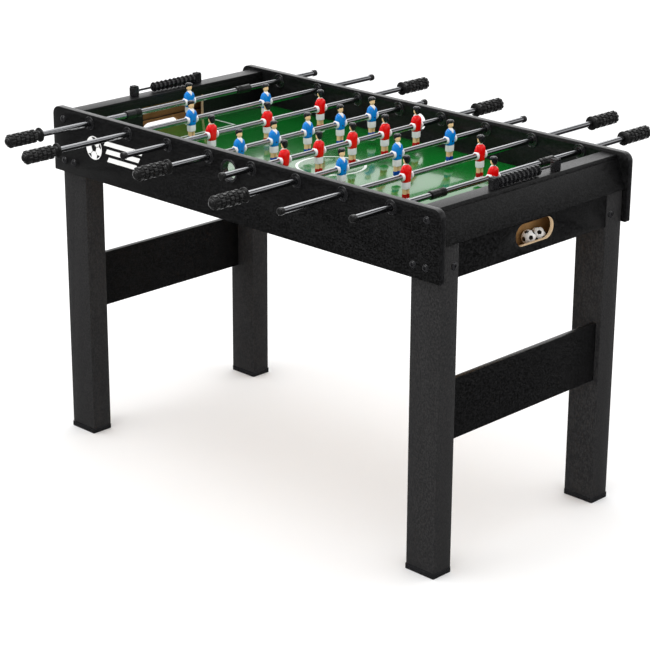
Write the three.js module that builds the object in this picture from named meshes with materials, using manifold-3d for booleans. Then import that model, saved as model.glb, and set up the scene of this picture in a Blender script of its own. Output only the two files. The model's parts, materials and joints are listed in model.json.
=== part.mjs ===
// Table football game on four legs. Two side panels carry eight through rods with 22 men on them,
// two end boxes hold the goals and the ball-return trays, and end stretchers join the legs.
// Units are millimetres. X runs from goal to goal, Y along the rods, Z up, the floor is at Z = 0.
import * as THREE from 'three';
import { mergeVertices } from 'three/addons/utils/BufferGeometryUtils.js';
import Module from 'manifold-3d';

const wasm = await Module();
wasm.setup();

// Driving dimensions
const LENGTH = 1180;
const WIDTH = 608;
const PANEL_TOP = 790;
const PANEL_HEIGHT = 150;
const PANEL_THICKNESS = 15;
const PANEL_CORNER_RADIUS = 20;
const GAP = 0.3;

const ROD_COUNT = 8;
const ROD_PITCH = 131.3;
const ROD_HEIGHT = 770;
const ROD_RADIUS = 6.35;
const ROD_BORE_RADIUS = 4.9;
const ROD_SIDES = 12;

const FLANGE_THICKNESS = 2.5;
const OUTER_FLANGE_RADIUS = 16;
const INNER_FLANGE_RADIUS = 17;
const BEARING_BORE_RADIUS = 7.2;
const BEARING_SIDES = 12;

const SERVE_X = -2;
const SERVE_HEIGHT = 751.5;
const SERVE_HOLE_RADIUS = 20;
const SERVE_RING_RADIUS = 26;
const SERVE_SIDES = 20;

const FIELD_TOP = 704;
const FIELD_THICKNESS = 6;
const GOAL_WALL_X = 521;
const GOAL_WALL_THICKNESS = 9;
const GOAL_WIDTH = 190;
const GOAL_HEIGHT = 55;
const RAMP_DEPTH = 46;
const RAMP_START_Y = 114;
const RAMP_HEIGHT = 11;

const END_TOP = 783;
const END_TOP_EDGE_X = 558;
const END_KNEE_X = 584;
const END_KNEE_HEIGHT = 711.3;
const END_BOARD_X = 577;
const END_BOARD_THICKNESS = 9;
const END_BOTTOM = 638;
const TRAY_THICKNESS = 3;
const SLOT_LENGTH = 120;
const SLOT_HEIGHT = 47;
const SLOT_CENTRE_HEIGHT = 680.5;

const LEG_OUTER_X = 579;
const LEG_DEPTH = 52;
const LEG_FOOT_WIDTH = 61;
const LEG_TOP_WIDTH = 78;
const LEG_NOTCH_X = 536;
const FOOT_HEIGHT = 12;
const FOOT_PROUD = 1.5;

const STRETCHER_X = 561;
const STRETCHER_THICKNESS = 12;
const STRETCHER_BOTTOM = 289;
const STRETCHER_HEIGHT = 131;

const SCORER_X = 546;
const SCORER_LENGTH = 216;
const SCORER_BLOCK_LENGTH = 20;
const SCORER_BLOCK_WIDTH = 14;
const SCORER_BLOCK_HEIGHT = 22;
const SCORER_RAIL_RADIUS = 2.5;
const BEAD_RADIUS = 11.5;
const BEAD_PITCH = 13.2;
const BEAD_COUNT = 10;
const BEAD_SIDES = 10;

const BALL_RADIUS = 15.7;
const BALL_X = 546.3;
const BALL_Y = [18.5, 49.3];

const MAN_HEAD_TOP = 44;
const MAN_FOOT_BOTTOM = -56;
const MAN_ARM_HALF_WIDTH = 16.5;
const STOP_COLLAR_Y = 172;
const STOP_COLLAR_HALF_LENGTH = 22;
const STOP_COLLAR_RADIUS = 9.5;

const CAP_LENGTH = 11;
const CAP_RADIUS = 7.8;
const CAP_BORE_DEPTH = 8;
const HANDLE_LENGTH = 93;
const HANDLE_BEYOND_REACH = 112;
const HANDLE_BORE_DEPTH = 60;
const SOCKET_RADIUS = ROD_RADIUS + GAP;
const RUN_OUT = 1;
const CAP_RUN_OUT = 11;

// Derived places
const PANEL_OUTER_Y = WIDTH / 2;
const PANEL_INNER_Y = PANEL_OUTER_Y - PANEL_THICKNESS;
const INSIDE_Y = PANEL_INNER_Y - GAP;
const LEG_INNER_Y = INSIDE_Y - LEG_DEPTH;
const BETWEEN_LEGS_Y = LEG_INNER_Y - GAP;
const PANEL_BOTTOM = PANEL_TOP - PANEL_HEIGHT;
const FIELD_BOTTOM = FIELD_TOP - FIELD_THICKNESS;
const LEG_SHELF = FIELD_BOTTOM - 5;
const STOP_FACE_Y = PANEL_INNER_Y - FLANGE_THICKNESS;

// Each row: who plays, where the men stand along the rod, and how far the rod is pushed at rest.
const MEN_ROWS = {
  keeper: [0],
  two: [-116.5, 116.5],
  three: [-170, 0, 170],
  five: [-207, -103.5, 0, 103.5, 207],
};
const RODS = [
  { team: 'blue', row: 'keeper', handleSide: -1, push: -5 },
  { team: 'blue', row: 'two', handleSide: -1, push: 0 },
  { team: 'red', row: 'three', handleSide: 1, push: -5 },
  { team: 'blue', row: 'five', handleSide: -1, push: -8 },
  { team: 'red', row: 'five', handleSide: 1, push: -2 },
  { team: 'blue', row: 'three', handleSide: -1, push: -1 },
  { team: 'red', row: 'two', handleSide: 1, push: 0 },
  { team: 'red', row: 'keeper', handleSide: 1, push: 4 },
];
const FACING = { blue: 1, red: -1 };

const COLOURS = {
  laminate: [0x17171a, 0.55, 0],
  leg: [0x232326, 0.55, 0],
  field: [0x0f8a3a, 0.25, 0],
  steel: [0xc8cbd0, 0.25, 1],
  rubber: [0x1b1b1c, 0.8, 0],
  blue: [0x1464c8, 0.35, 0],
  red: [0xd81e1e, 0.35, 0],
  ball: [0xf2f2f0, 0.4, 0],
};

const group = new THREE.Group();

// Geometry helpers

function material(name) {
  const [color, roughness, metalness] = COLOURS[name];
  return new THREE.MeshStandardMaterial({ color, roughness, metalness });
}

function addNode(name, geometry, colour, place = [0, 0, 0]) {
  const mesh = new THREE.Mesh(geometry, material(colour));
  mesh.name = name;
  mesh.position.set(...place);
  group.add(mesh);
  return mesh;
}

function toSolid(geometry) {
  const bare = geometry.clone();
  bare.deleteAttribute('normal');
  bare.deleteAttribute('uv');
  const merged = mergeVertices(bare, 1e-4);
  const vertProperties = new Float32Array(merged.attributes.position.array);
  const triVerts = new Uint32Array(merged.index.array);
  return new wasm.Manifold(new wasm.Mesh({ numProp: 3, vertProperties, triVerts }));
}

function toGeometry(solid) {
  const { vertProperties, triVerts } = solid.getMesh();
  const geometry = new THREE.BufferGeometry();
  geometry.setAttribute('position', new THREE.BufferAttribute(new Float32Array(vertProperties), 3));
  geometry.setIndex(new THREE.BufferAttribute(new Uint32Array(triVerts), 1));
  geometry.computeVertexNormals();
  return geometry;
}

function joined(solids) {
  return solids.reduce((sum, solid) => sum.add(solid));
}

function box(low, high) {
  const size = high.map((value, axis) => value - low[axis]);
  const geometry = new THREE.BoxGeometry(...size);
  geometry.translate(...low.map((value, axis) => value + size[axis] / 2));
  return geometry;
}

// A shape drawn in X and Z, extruded along Y from yLow to yHigh.
function extrudeAlongY(shape, yLow, yHigh, curveSegments = 6) {
  const settings = { depth: yHigh - yLow, bevelEnabled: false, curveSegments };
  const geometry = new THREE.ExtrudeGeometry(shape, settings);
  geometry.rotateX(Math.PI / 2);
  geometry.translate(0, yHigh, 0);
  return geometry;
}

function polygon(points) {
  return new THREE.Shape(points.map(([x, z]) => new THREE.Vector2(x, z)));
}

// A profile of [radius, distance along Y] pairs turned about the Y axis.
function turned(profile, sides) {
  const points = profile.map(([radius, along]) => new THREE.Vector2(radius, along));
  return new THREE.LatheGeometry(points, sides);
}

function disc(radius, x, z, yLow, yHigh, sides) {
  const profile = [[0, yLow], [radius, yLow], [radius, yHigh], [0, yHigh]];
  return turned(profile, sides).translate(x, 0, z);
}

function rodX(index) {
  return (index - (ROD_COUNT - 1) / 2) * ROD_PITCH;
}

// Side panels, each with its eight bearings and its serve-hole ring

function sidePanel(side) {
  const half = LENGTH / 2;
  const shape = new THREE.Shape();
  shape.moveTo(-half, PANEL_BOTTOM);
  shape.lineTo(half, PANEL_BOTTOM);
  shape.lineTo(half, PANEL_TOP - PANEL_CORNER_RADIUS);
  shape.absarc(half - PANEL_CORNER_RADIUS, PANEL_TOP - PANEL_CORNER_RADIUS, PANEL_CORNER_RADIUS,
    0, Math.PI / 2);
  shape.lineTo(-half + PANEL_CORNER_RADIUS, PANEL_TOP);
  shape.absarc(-half + PANEL_CORNER_RADIUS, PANEL_TOP - PANEL_CORNER_RADIUS, PANEL_CORNER_RADIUS,
    Math.PI / 2, Math.PI);
  const outer = side * PANEL_OUTER_Y;
  const inner = side * PANEL_INNER_Y;
  const board = extrudeAlongY(shape, Math.min(outer, inner), Math.max(outer, inner));
  const skin = side * FLANGE_THICKNESS;
  const deep = side * PANEL_THICKNESS;
  const solids = [toSolid(board)];
  const cuts = [];
  const addRing = (radius, x, z, faceY, outwards, sides) => {
    const ends = [faceY - outwards, faceY + outwards];
    solids.push(toSolid(disc(radius, x, z, Math.min(...ends), Math.max(...ends), sides)));
  };
  const through = [Math.min(inner - deep, outer + deep), Math.max(inner - deep, outer + deep)];
  for (let index = 0; index < ROD_COUNT; index += 1) {
    addRing(OUTER_FLANGE_RADIUS, rodX(index), ROD_HEIGHT, outer, skin, BEARING_SIDES);
    addRing(INNER_FLANGE_RADIUS, rodX(index), ROD_HEIGHT, inner, skin, BEARING_SIDES);
    cuts.push(toSolid(disc(BEARING_BORE_RADIUS, rodX(index), ROD_HEIGHT, ...through, BEARING_SIDES)));
  }
  addRing(SERVE_RING_RADIUS, SERVE_X, SERVE_HEIGHT, outer, skin, SERVE_SIDES);
  cuts.push(toSolid(disc(SERVE_HOLE_RADIUS, SERVE_X, SERVE_HEIGHT, ...through, SERVE_SIDES)));
  return toGeometry(joined(solids).subtract(joined(cuts)));
}

addNode('front_side_panel', sidePanel(-1), 'laminate');
addNode('back_side_panel', sidePanel(1), 'laminate');

// Playfield with a low ramp in each corner

function cornerRamp(endSide, ySide) {
  const wallX = endSide * (GOAL_WALL_X - GAP);
  const nearX = endSide * (GOAL_WALL_X - GAP - RAMP_DEPTH);
  const sink = FIELD_TOP - 1;
  const wallEnd = ySide * RAMP_START_Y;
  const corner = ySide * INSIDE_Y;
  const points = [
    [wallX, wallEnd, sink],
    [wallX, corner, sink],
    [nearX, corner, sink],
    [wallX, corner, FIELD_TOP + RAMP_HEIGHT],
  ];
  const faces = [[0, 1, 2], [0, 1, 3], [1, 2, 3], [2, 0, 3]];
  const corners = points.map((point) => new THREE.Vector3(...point));
  const centre = new THREE.Vector3();
  corners.forEach((point) => centre.addScaledVector(point, 1 / corners.length));
  const triangles = faces.flatMap((face) => outwardFace(face.map((i) => corners[i]), centre));
  return new THREE.BufferGeometry().setFromPoints(triangles);
}

// Returns the three corners in the order that makes the face look away from the centre.
function outwardFace([a, b, c], centre) {
  const normal = b.clone().sub(a).cross(c.clone().sub(a));
  return normal.dot(a.clone().sub(centre)) > 0 ? [a, b, c] : [a, c, b];
}

function playfield() {
  const x = GOAL_WALL_X - GAP;
  const solids = [toSolid(box([-x, -INSIDE_Y, FIELD_BOTTOM], [x, INSIDE_Y, FIELD_TOP]))];
  for (const endSide of [-1, 1]) {
    for (const ySide of [-1, 1]) {
      solids.push(toSolid(cornerRamp(endSide, ySide)));
    }
  }
  return toGeometry(joined(solids));
}

addNode('playfield', playfield(), 'field');

// End boxes: goal wall, top strip, sloped board, lower board with its ball slot, tray and scorer rack

function slotCut() {
  const radius = SLOT_HEIGHT / 2;
  const straight = SLOT_LENGTH / 2 - radius;
  const shape = new THREE.Shape();
  shape.absarc(straight, 0, radius, -Math.PI / 2, Math.PI / 2);
  shape.absarc(-straight, 0, radius, Math.PI / 2, (3 * Math.PI) / 2);
  const depth = 4 * END_BOARD_THICKNESS;
  const geometry = new THREE.ExtrudeGeometry(shape, { depth, bevelEnabled: false, curveSegments: 8 });
  geometry.rotateX(Math.PI / 2);
  geometry.rotateZ(Math.PI / 2);
  geometry.translate(END_BOARD_X - depth / 2, 0, SLOT_CENTRE_HEIGHT);
  return geometry;
}

function scorerRack() {
  const half = SCORER_LENGTH / 2;
  const halfWidth = SCORER_BLOCK_WIDTH / 2;
  const railHeight = END_TOP + GAP + BEAD_RADIUS;
  const rail = disc(SCORER_RAIL_RADIUS, SCORER_X, railHeight, -half + 2, half - 2, 8);
  const blocks = [-1, 1].map((end) => {
    const ends = [end * half, end * (half - SCORER_BLOCK_LENGTH)];
    return box([SCORER_X - halfWidth, Math.min(...ends), END_TOP - 1],
      [SCORER_X + halfWidth, Math.max(...ends), END_TOP + SCORER_BLOCK_HEIGHT]);
  });
  return [rail, ...blocks];
}

function endBox() {
  const wallOuter = GOAL_WALL_X + GOAL_WALL_THICKNESS;
  const boardInner = END_BOARD_X - END_BOARD_THICKNESS;
  const upper = polygon([
    [GOAL_WALL_X, LEG_SHELF + GAP],
    [wallOuter, LEG_SHELF + GAP],
    [wallOuter, END_TOP - END_BOARD_THICKNESS],
    [END_TOP_EDGE_X - END_BOARD_THICKNESS, END_TOP - END_BOARD_THICKNESS],
    [END_KNEE_X - END_BOARD_THICKNESS, END_KNEE_HEIGHT],
    [END_KNEE_X, END_KNEE_HEIGHT],
    [END_TOP_EDGE_X, END_TOP],
    [GOAL_WALL_X, END_TOP],
  ]);
  const lower = polygon([
    [GOAL_WALL_X, END_BOTTOM],
    [END_BOARD_X, END_BOTTOM],
    [END_BOARD_X, END_KNEE_HEIGHT + 1],
    [boardInner, END_KNEE_HEIGHT + 1],
    [boardInner, END_BOTTOM + TRAY_THICKNESS],
    [wallOuter, END_BOTTOM + TRAY_THICKNESS],
    [wallOuter, LEG_SHELF + 1],
    [GOAL_WALL_X, LEG_SHELF + 1],
  ]);
  const goal = box([GOAL_WALL_X - 5, -GOAL_WIDTH / 2, FIELD_TOP],
    [wallOuter + 5, GOAL_WIDTH / 2, FIELD_TOP + GOAL_HEIGHT]);
  const solids = [
    extrudeAlongY(upper, -INSIDE_Y, INSIDE_Y),
    extrudeAlongY(lower, -BETWEEN_LEGS_Y, BETWEEN_LEGS_Y),
    ...scorerRack(),
  ];
  const cuts = [goal, slotCut()];
  return toGeometry(joined(solids.map(toSolid)).subtract(joined(cuts.map(toSolid))));
}

// The two ends are the same box, turned half a turn about the Z axis.
for (const [name, side] of [['right', 1], ['left', -1]]) {
  const mesh = addNode(`${name}_end_box`, endBox(), 'laminate');
  mesh.rotation.z = side > 0 ? 0 : Math.PI;
}

// Scorer beads: the left stack stands at its back end, the right stack at its front end.

function beadStack() {
  const groove = BEAD_RADIUS - 2.5;
  const bore = SCORER_RAIL_RADIUS + 2 * GAP;
  const profile = [[bore, 0], [groove, 0]];
  for (let index = 0; index < BEAD_COUNT; index += 1) {
    profile.push([BEAD_RADIUS, (index + 0.5) * BEAD_PITCH], [groove, (index + 1) * BEAD_PITCH]);
  }
  profile.push([bore, BEAD_COUNT * BEAD_PITCH], [bore, 0]);
  return turned(profile, BEAD_SIDES);
}

const BEAD_STACK_LENGTH = BEAD_COUNT * BEAD_PITCH;
const BEAD_END_Y = SCORER_LENGTH / 2 - SCORER_BLOCK_LENGTH - GAP;
for (const [name, side] of [['right', 1], ['left', -1]]) {
  const startY = side > 0 ? -BEAD_END_Y : BEAD_END_Y - BEAD_STACK_LENGTH;
  const height = END_TOP + GAP + BEAD_RADIUS;
  addNode(`${name}_scorer_beads`, beadStack(), 'rubber', [side * SCORER_X, startY, height]);
}

// Two match balls that touch, lying in the right-hand tray

function matchBalls() {
  const balls = BALL_Y.map((y) => new THREE.SphereGeometry(BALL_RADIUS, 12, 8).translate(0, y, 0));
  return toGeometry(joined(balls.map(toSolid)));
}

addNode('match_balls', matchBalls(), 'ball',
  [BALL_X, 0, END_BOTTOM + TRAY_THICKNESS + GAP + BALL_RADIUS]);

// Legs, tapered on their inner face, each with its foot cap, and the stretchers between them

function leg() {
  const profile = polygon([
    [LEG_OUTER_X - LEG_FOOT_WIDTH, FOOT_HEIGHT],
    [LEG_OUTER_X, FOOT_HEIGHT],
    [LEG_OUTER_X, END_KNEE_HEIGHT - GAP],
    [LEG_NOTCH_X, END_KNEE_HEIGHT - GAP],
    [LEG_NOTCH_X, LEG_SHELF],
    [LEG_OUTER_X - LEG_TOP_WIDTH, LEG_SHELF],
  ]);
  const post = extrudeAlongY(profile, LEG_INNER_Y, INSIDE_Y);
  const foot = box([LEG_OUTER_X - LEG_FOOT_WIDTH - FOOT_PROUD, LEG_INNER_Y - FOOT_PROUD, 0],
    [LEG_OUTER_X + FOOT_PROUD, INSIDE_Y + FOOT_PROUD, FOOT_HEIGHT]);
  return toSolid(post).add(toSolid(foot));
}

function mirrored(geometry, xSide, ySide) {
  const copy = geometry.clone().scale(xSide, ySide, 1);
  if (xSide * ySide < 0) {
    const index = copy.index.array;
    for (let i = 0; i < index.length; i += 3) {
      [index[i], index[i + 1]] = [index[i + 1], index[i]];
    }
  }
  copy.computeVertexNormals();
  return copy;
}

const legGeometry = toGeometry(leg());
for (const [xName, xSide] of [['right', 1], ['left', -1]]) {
  for (const [yName, ySide] of [['front', -1], ['back', 1]]) {
    addNode(`${yName}_${xName}_leg`, mirrored(legGeometry, xSide, ySide), 'leg');
  }
  const half = STRETCHER_THICKNESS / 2;
  const stretcher = box([-half, -BETWEEN_LEGS_Y, STRETCHER_BOTTOM],
    [half, BETWEEN_LEGS_Y, STRETCHER_BOTTOM + STRETCHER_HEIGHT]);
  addNode(`${xName}_stretcher`, stretcher, 'laminate', [xSide * STRETCHER_X, 0, 0]);
}

// Rods, drawn with the handle towards +Y and turned half a turn where the handle is at the front

function travel(row) {
  if (row === 'keeper') {
    return STOP_FACE_Y - STOP_COLLAR_Y - STOP_COLLAR_HALF_LENGTH - RUN_OUT;
  }
  return STOP_FACE_Y - Math.max(...MEN_ROWS[row]) - MAN_ARM_HALF_WIDTH - RUN_OUT;
}

// Distance from the middle man to the tip of the end cap: the cap stops just short of its flange.
function reach(row) {
  return PANEL_OUTER_Y + FLANGE_THICKNESS + CAP_RUN_OUT + travel(row) + CAP_LENGTH;
}

function rodTube(row) {
  const capEnd = -reach(row) + CAP_LENGTH - CAP_BORE_DEPTH + GAP;
  const handleEnd = reach(row) + HANDLE_BEYOND_REACH - HANDLE_LENGTH + HANDLE_BORE_DEPTH - GAP;
  const outside = [[ROD_RADIUS, capEnd]];
  if (row === 'keeper') {
    for (const y of [-STOP_COLLAR_Y, STOP_COLLAR_Y]) {
      const start = y - STOP_COLLAR_HALF_LENGTH;
      const end = y + STOP_COLLAR_HALF_LENGTH;
      outside.push([ROD_RADIUS, start], [STOP_COLLAR_RADIUS, start]);
      outside.push([STOP_COLLAR_RADIUS, end], [ROD_RADIUS, end]);
    }
  }
  outside.push([ROD_RADIUS, handleEnd]);
  const inside = [[ROD_BORE_RADIUS, handleEnd], [ROD_BORE_RADIUS, capEnd]];
  return turned([...outside, ...inside, outside[0]], ROD_SIDES);
}

function handle() {
  const profile = [
    [SOCKET_RADIUS, 0],
    [16, 0],
    [16, 3],
    [9.5, 5],
    [9.5, 12],
    [14.5, 16],
    [14.5, 85],
    [9, HANDLE_LENGTH],
    [0, HANDLE_LENGTH],
    [0, HANDLE_BORE_DEPTH],
    [SOCKET_RADIUS, HANDLE_BORE_DEPTH],
    [SOCKET_RADIUS, 0],
  ];
  return turned(profile, ROD_SIDES);
}

function endCap() {
  const profile = [
    [0, 0],
    [CAP_RADIUS - 1.5, 0],
    [CAP_RADIUS, 2],
    [CAP_RADIUS, CAP_LENGTH],
    [SOCKET_RADIUS, CAP_LENGTH],
    [SOCKET_RADIUS, CAP_LENGTH - CAP_BORE_DEPTH],
    [0, CAP_LENGTH - CAP_BORE_DEPTH],
  ];
  return turned(profile, ROD_SIDES);
}

// A man moulded round the rod, facing +X, with the rod's axis at his chest.
function man() {
  const parts = [
    box([-8.5, -12, -12], [8.5, 12, 23]),
    disc(9.5, 0, 0, -MAN_ARM_HALF_WIDTH, MAN_ARM_HALF_WIDTH, 8),
    new THREE.CylinderGeometry(6.5, 6.5, MAN_HEAD_TOP - 22, 6).rotateX(Math.PI / 2)
      .translate(0, 0, (MAN_HEAD_TOP + 22) / 2),
    box([-8, -9.8, -27], [8, 9.8, -11]),
    box([-5.5, -8, -48], [5.5, 8, -26]),
    box([-8.5, -9.5, MAN_FOOT_BOTTOM], [8.5, 9.5, -47]),
  ];
  const bore = disc(SOCKET_RADIUS, 0, 0, -30, 30, ROD_SIDES);
  return toGeometry(joined(parts.map(toSolid)).subtract(toSolid(bore)));
}

const manGeometry = man();

// Places a piece on its rod's axis, turned half a turn about Z where its side is negative.
function place(mesh, number, side) {
  mesh.position.x = rodX(number - 1);
  mesh.position.y += RODS[number - 1].push;
  mesh.position.z = ROD_HEIGHT;
  mesh.rotation.z = side > 0 ? 0 : Math.PI;
}

RODS.forEach(({ team, row, handleSide }, index) => {
  const number = index + 1;
  const handleStart = reach(row) + HANDLE_BEYOND_REACH - HANDLE_LENGTH;
  place(addNode(`rod_${number}_tube`, rodTube(row), 'steel'), number, handleSide);
  place(addNode(`rod_${number}_handle`, handle(), 'rubber', [0, handleSide * handleStart, 0]),
    number, handleSide);
  place(addNode(`rod_${number}_end_cap`, endCap(), 'rubber', [0, -handleSide * reach(row), 0]),
    number, handleSide);
  MEN_ROWS[row].forEach((y, order) => {
    place(addNode(`rod_${number}_${team}_man_${order + 1}`, manGeometry, team, [0, y, 0]),
      number, FACING[team]);
  });
});

export default group;
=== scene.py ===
# %% [markdown]
# # A table football game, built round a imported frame
# The game is a shallow black box on four legs. Eight steel rods pass through the two long side
# panels and carry 22 moulded men over a printed field. The frame holds every real size and every
# joint, so this lesson only gives each part its visible shape and its finish, and lets it ride on
# the body that moves it. All sizes are in metres: X runs from goal to goal, Y along the rods, Z up.

import json
import math

import bmesh
import bpy
from mathutils import Matrix, Vector

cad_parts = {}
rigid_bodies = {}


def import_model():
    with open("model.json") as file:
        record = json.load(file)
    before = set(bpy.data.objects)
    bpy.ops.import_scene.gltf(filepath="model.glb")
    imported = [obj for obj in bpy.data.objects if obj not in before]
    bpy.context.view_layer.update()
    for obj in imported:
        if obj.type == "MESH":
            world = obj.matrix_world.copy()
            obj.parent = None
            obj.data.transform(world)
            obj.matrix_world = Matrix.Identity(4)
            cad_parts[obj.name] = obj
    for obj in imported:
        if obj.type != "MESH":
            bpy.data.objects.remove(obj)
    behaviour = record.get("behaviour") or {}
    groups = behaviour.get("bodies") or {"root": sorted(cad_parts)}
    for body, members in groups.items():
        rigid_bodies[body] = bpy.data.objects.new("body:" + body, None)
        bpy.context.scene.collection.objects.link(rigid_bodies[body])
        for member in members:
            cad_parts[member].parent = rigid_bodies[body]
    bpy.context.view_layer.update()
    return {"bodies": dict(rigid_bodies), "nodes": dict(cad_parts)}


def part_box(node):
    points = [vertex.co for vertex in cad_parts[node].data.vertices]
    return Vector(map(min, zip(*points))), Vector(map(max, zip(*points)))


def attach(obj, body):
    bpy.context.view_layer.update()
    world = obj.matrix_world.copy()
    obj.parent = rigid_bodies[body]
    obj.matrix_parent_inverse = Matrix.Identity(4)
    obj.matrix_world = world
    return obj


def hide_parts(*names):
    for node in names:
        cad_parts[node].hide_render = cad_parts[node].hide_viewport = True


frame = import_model()
print("bodies", len(frame["bodies"]), "nodes", len(frame["nodes"]))

# %% [markdown]
# ## Places read from the frame
# A place could be typed in again here, but two copies of a number soon disagree. Reading the boxes
# of the frame's nodes keeps one source. A few sizes can't be seen in a box, such as the thickness
# of a bearing flange, and they are named below.

# %% Driving sizes
MM = 0.001
FLANGE = 2.5 * MM
ROD_RADIUS = 6.35 * MM
ROD_BORE = 4.9 * MM


def span(node):
    low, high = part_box(node)
    return high - low


def middle(node):
    low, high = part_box(node)
    return (low + high) / 2


panel_low, panel_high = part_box("front_side_panel")
PANEL_OUTER = -panel_low.y - FLANGE
PANEL_INNER = -panel_high.y + FLANGE
PANEL_THICKNESS = PANEL_OUTER - PANEL_INNER
PANEL_LENGTH = panel_high.x - panel_low.x
PANEL_BOTTOM = panel_low.z
PANEL_TOP = panel_high.z
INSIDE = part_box("playfield")[1].y
rod_numbers = sorted({int(node.split("_")[1]) for node in frame["nodes"] if node.startswith("rod_")})
ROD_X = [middle(f"rod_{number}_tube").x for number in rod_numbers]
ROD_Z = middle("rod_1_tube").z
print("panel", round(PANEL_LENGTH, 3), round(PANEL_THICKNESS, 4), "rods at", [round(x, 3) for x in ROD_X])

# %% [markdown]
# ## A small language for node trees
# Shader and geometry trees are long lists of nodes and links when they are written out one by one.
# Two small classes make them short. `Nodes` adds any node from its type, its settings and its
# inputs. `Signal` is one output socket, and the arithmetic operators on it add Math nodes, so a
# pattern is written as a formula.


# %% The socket class
class Signal:
    """One output socket of a tree. Arithmetic on it adds Math nodes to that tree."""

    def __init__(self, nodes, node, socket):
        self.nodes = nodes
        self.owner = node
        self.socket = socket

    def __getitem__(self, name):
        return Signal(self.nodes, self.owner, pick(self.owner.outputs, name))

    def math(self, operation, *values):
        return self.nodes.node("ShaderNodeMath", {"operation": operation}, dict(enumerate(values)))

    def __abs__(self):
        return self.math("ABSOLUTE", self)

    def greater(self, other):
        return self.math("GREATER_THAN", self, other)

    def largest(self, other):
        return self.math("MAXIMUM", self, other)

    def root(self):
        return self.math("SQRT", self)

    def clamped(self):
        return self.math("MINIMUM", self.largest(0.0), 1.0)


def sign_method(operation, reflected):
    """The method behind an arithmetic sign. In its reflected form the signal stands second."""
    if reflected:
        return lambda signal, other: signal.math(operation, other, signal)
    return lambda signal, other: signal.math(operation, signal, other)


for sign, operation in {"add": "ADD", "sub": "SUBTRACT", "mul": "MULTIPLY", "truediv": "DIVIDE"}.items():
    setattr(Signal, f"__{sign}__", sign_method(operation, False))
    setattr(Signal, f"__r{sign}__", sign_method(operation, True))


# %% The tree class
def pick(sockets, name):
    """A socket by its index, its identifier, or its name."""
    if isinstance(name, int):
        return sockets[name]
    for socket in sockets:
        if socket.identifier == name:
            return socket
    return next(socket for socket in sockets if socket.name == name and socket.enabled)


class Nodes:
    """Adds nodes to one tree."""

    def __init__(self, tree):
        self.tree = tree
        tree.nodes.clear()

    def node(self, kind, settings=None, inputs=None, output=0):
        made = self.tree.nodes.new(kind)
        for name, value in (settings or {}).items():
            setattr(made, name, value)
        for name, value in (inputs or {}).items():
            socket = pick(made.inputs, name)
            for item in value if isinstance(value, list) else [value]:
                if isinstance(item, Signal):
                    self.tree.links.new(item.socket, socket)
                else:
                    socket.default_value = item
        return Signal(self, made, pick(made.outputs, output)) if len(made.outputs) else None

    def mix(self, factor, first, second):
        values = {"Factor_Float": factor, "A_Color": first, "B_Color": second}
        return self.node("ShaderNodeMix", {"data_type": "RGBA"}, values, "Result_Color")

    def place(self, scale=(1, 1, 1)):
        """The point on the piece in metres, stretched by a scale for each axis."""
        point = self.node("ShaderNodeTexCoord", output="Object")
        return self.node("ShaderNodeMapping", None, {"Vector": point, "Scale": scale})

    def noise(self, scale, detail=3.0, stretch=(1, 1, 1)):
        values = {"Vector": self.place(stretch), "Scale": scale, "Detail": detail}
        return self.node("ShaderNodeTexNoise", None, values, "Fac")


# %% [markdown]
# ## Making a material
# Every finish here is a Principled shader. What changes over the surface feeds its colour, its
# roughness or its bump, and what is the same everywhere is set on the socket as a plain number.
# Colours are given as screen values from 0 to 255, since that is how a colour chart gives them,
# and are turned into the linear light that the renderer works in.


# %% Colours and the material function
def screen(red, green, blue):
    """A screen colour from 0 to 255 as linear light with full alpha."""

    def linear(value):
        share = value / 255
        return share / 12.92 if share <= 0.04045 else ((share + 0.055) / 1.055) ** 2.4

    return (linear(red), linear(green), linear(blue), 1.0)


def finish(name, recipe):
    """A material whose recipe(nodes) returns the Principled inputs, with height and depth for a bump."""
    made = bpy.data.materials.new(name)
    made.use_nodes = True
    nodes = Nodes(made.node_tree)
    look = recipe(nodes)
    depth = look.pop("depth", 0.1 * MM)
    height = look.pop("height", None)
    if height is not None:
        look["Normal"] = nodes.node("ShaderNodeBump", None, {"Height": height, "Distance": depth})
    shader = nodes.node("ShaderNodeBsdfPrincipled", None, look)
    nodes.node("ShaderNodeOutputMaterial", None, {"Surface": shader})
    return made


# %% [markdown]
# ## Black foil on fibreboard
# The boards are fibreboard wrapped in a printed black foil that is embossed with a fine wood
# grain. A scan of grain would need an image file, and plain noise looks like sand. One noise
# stretched along the board gives streaks, and a rounder one breaks them into small pits that
# catch the light. The grain runs along the board, so each direction has its own material.

# %% Foil finishes
GRAIN_STRETCH = 0.16
STREAK_SCALE = 900
PIT_SCALE = 240
CLOUD_SCALE = 9
SHADE_START = 0.44
SHADE_CONTRAST = 7.0
EMBOSS_DEPTH = 0.5 * MM


def foil(name, grain_axis, dark, light, gloss=0.38, sheen_level=0.35):
    stretch = tuple(GRAIN_STRETCH if axis == grain_axis else 1.0 for axis in range(3))

    def recipe(nodes):
        streaks = nodes.noise(STREAK_SCALE, 4.0, stretch)
        pits = nodes.noise(PIT_SCALE, 4.0)
        clouds = nodes.noise(CLOUD_SCALE, 2.0, stretch)
        emboss = streaks * 0.5 + pits * 0.5
        shade = ((emboss - SHADE_START) * SHADE_CONTRAST).clamped() * 0.9 + clouds * 0.1
        return {
            "Base Color": nodes.mix(shade, dark, light),
            "Roughness": gloss + (pits - 0.5) * 0.3,
            "Specular IOR Level": sheen_level,
            "height": emboss,
            "depth": EMBOSS_DEPTH,
        }

    return finish(name, recipe)


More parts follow.
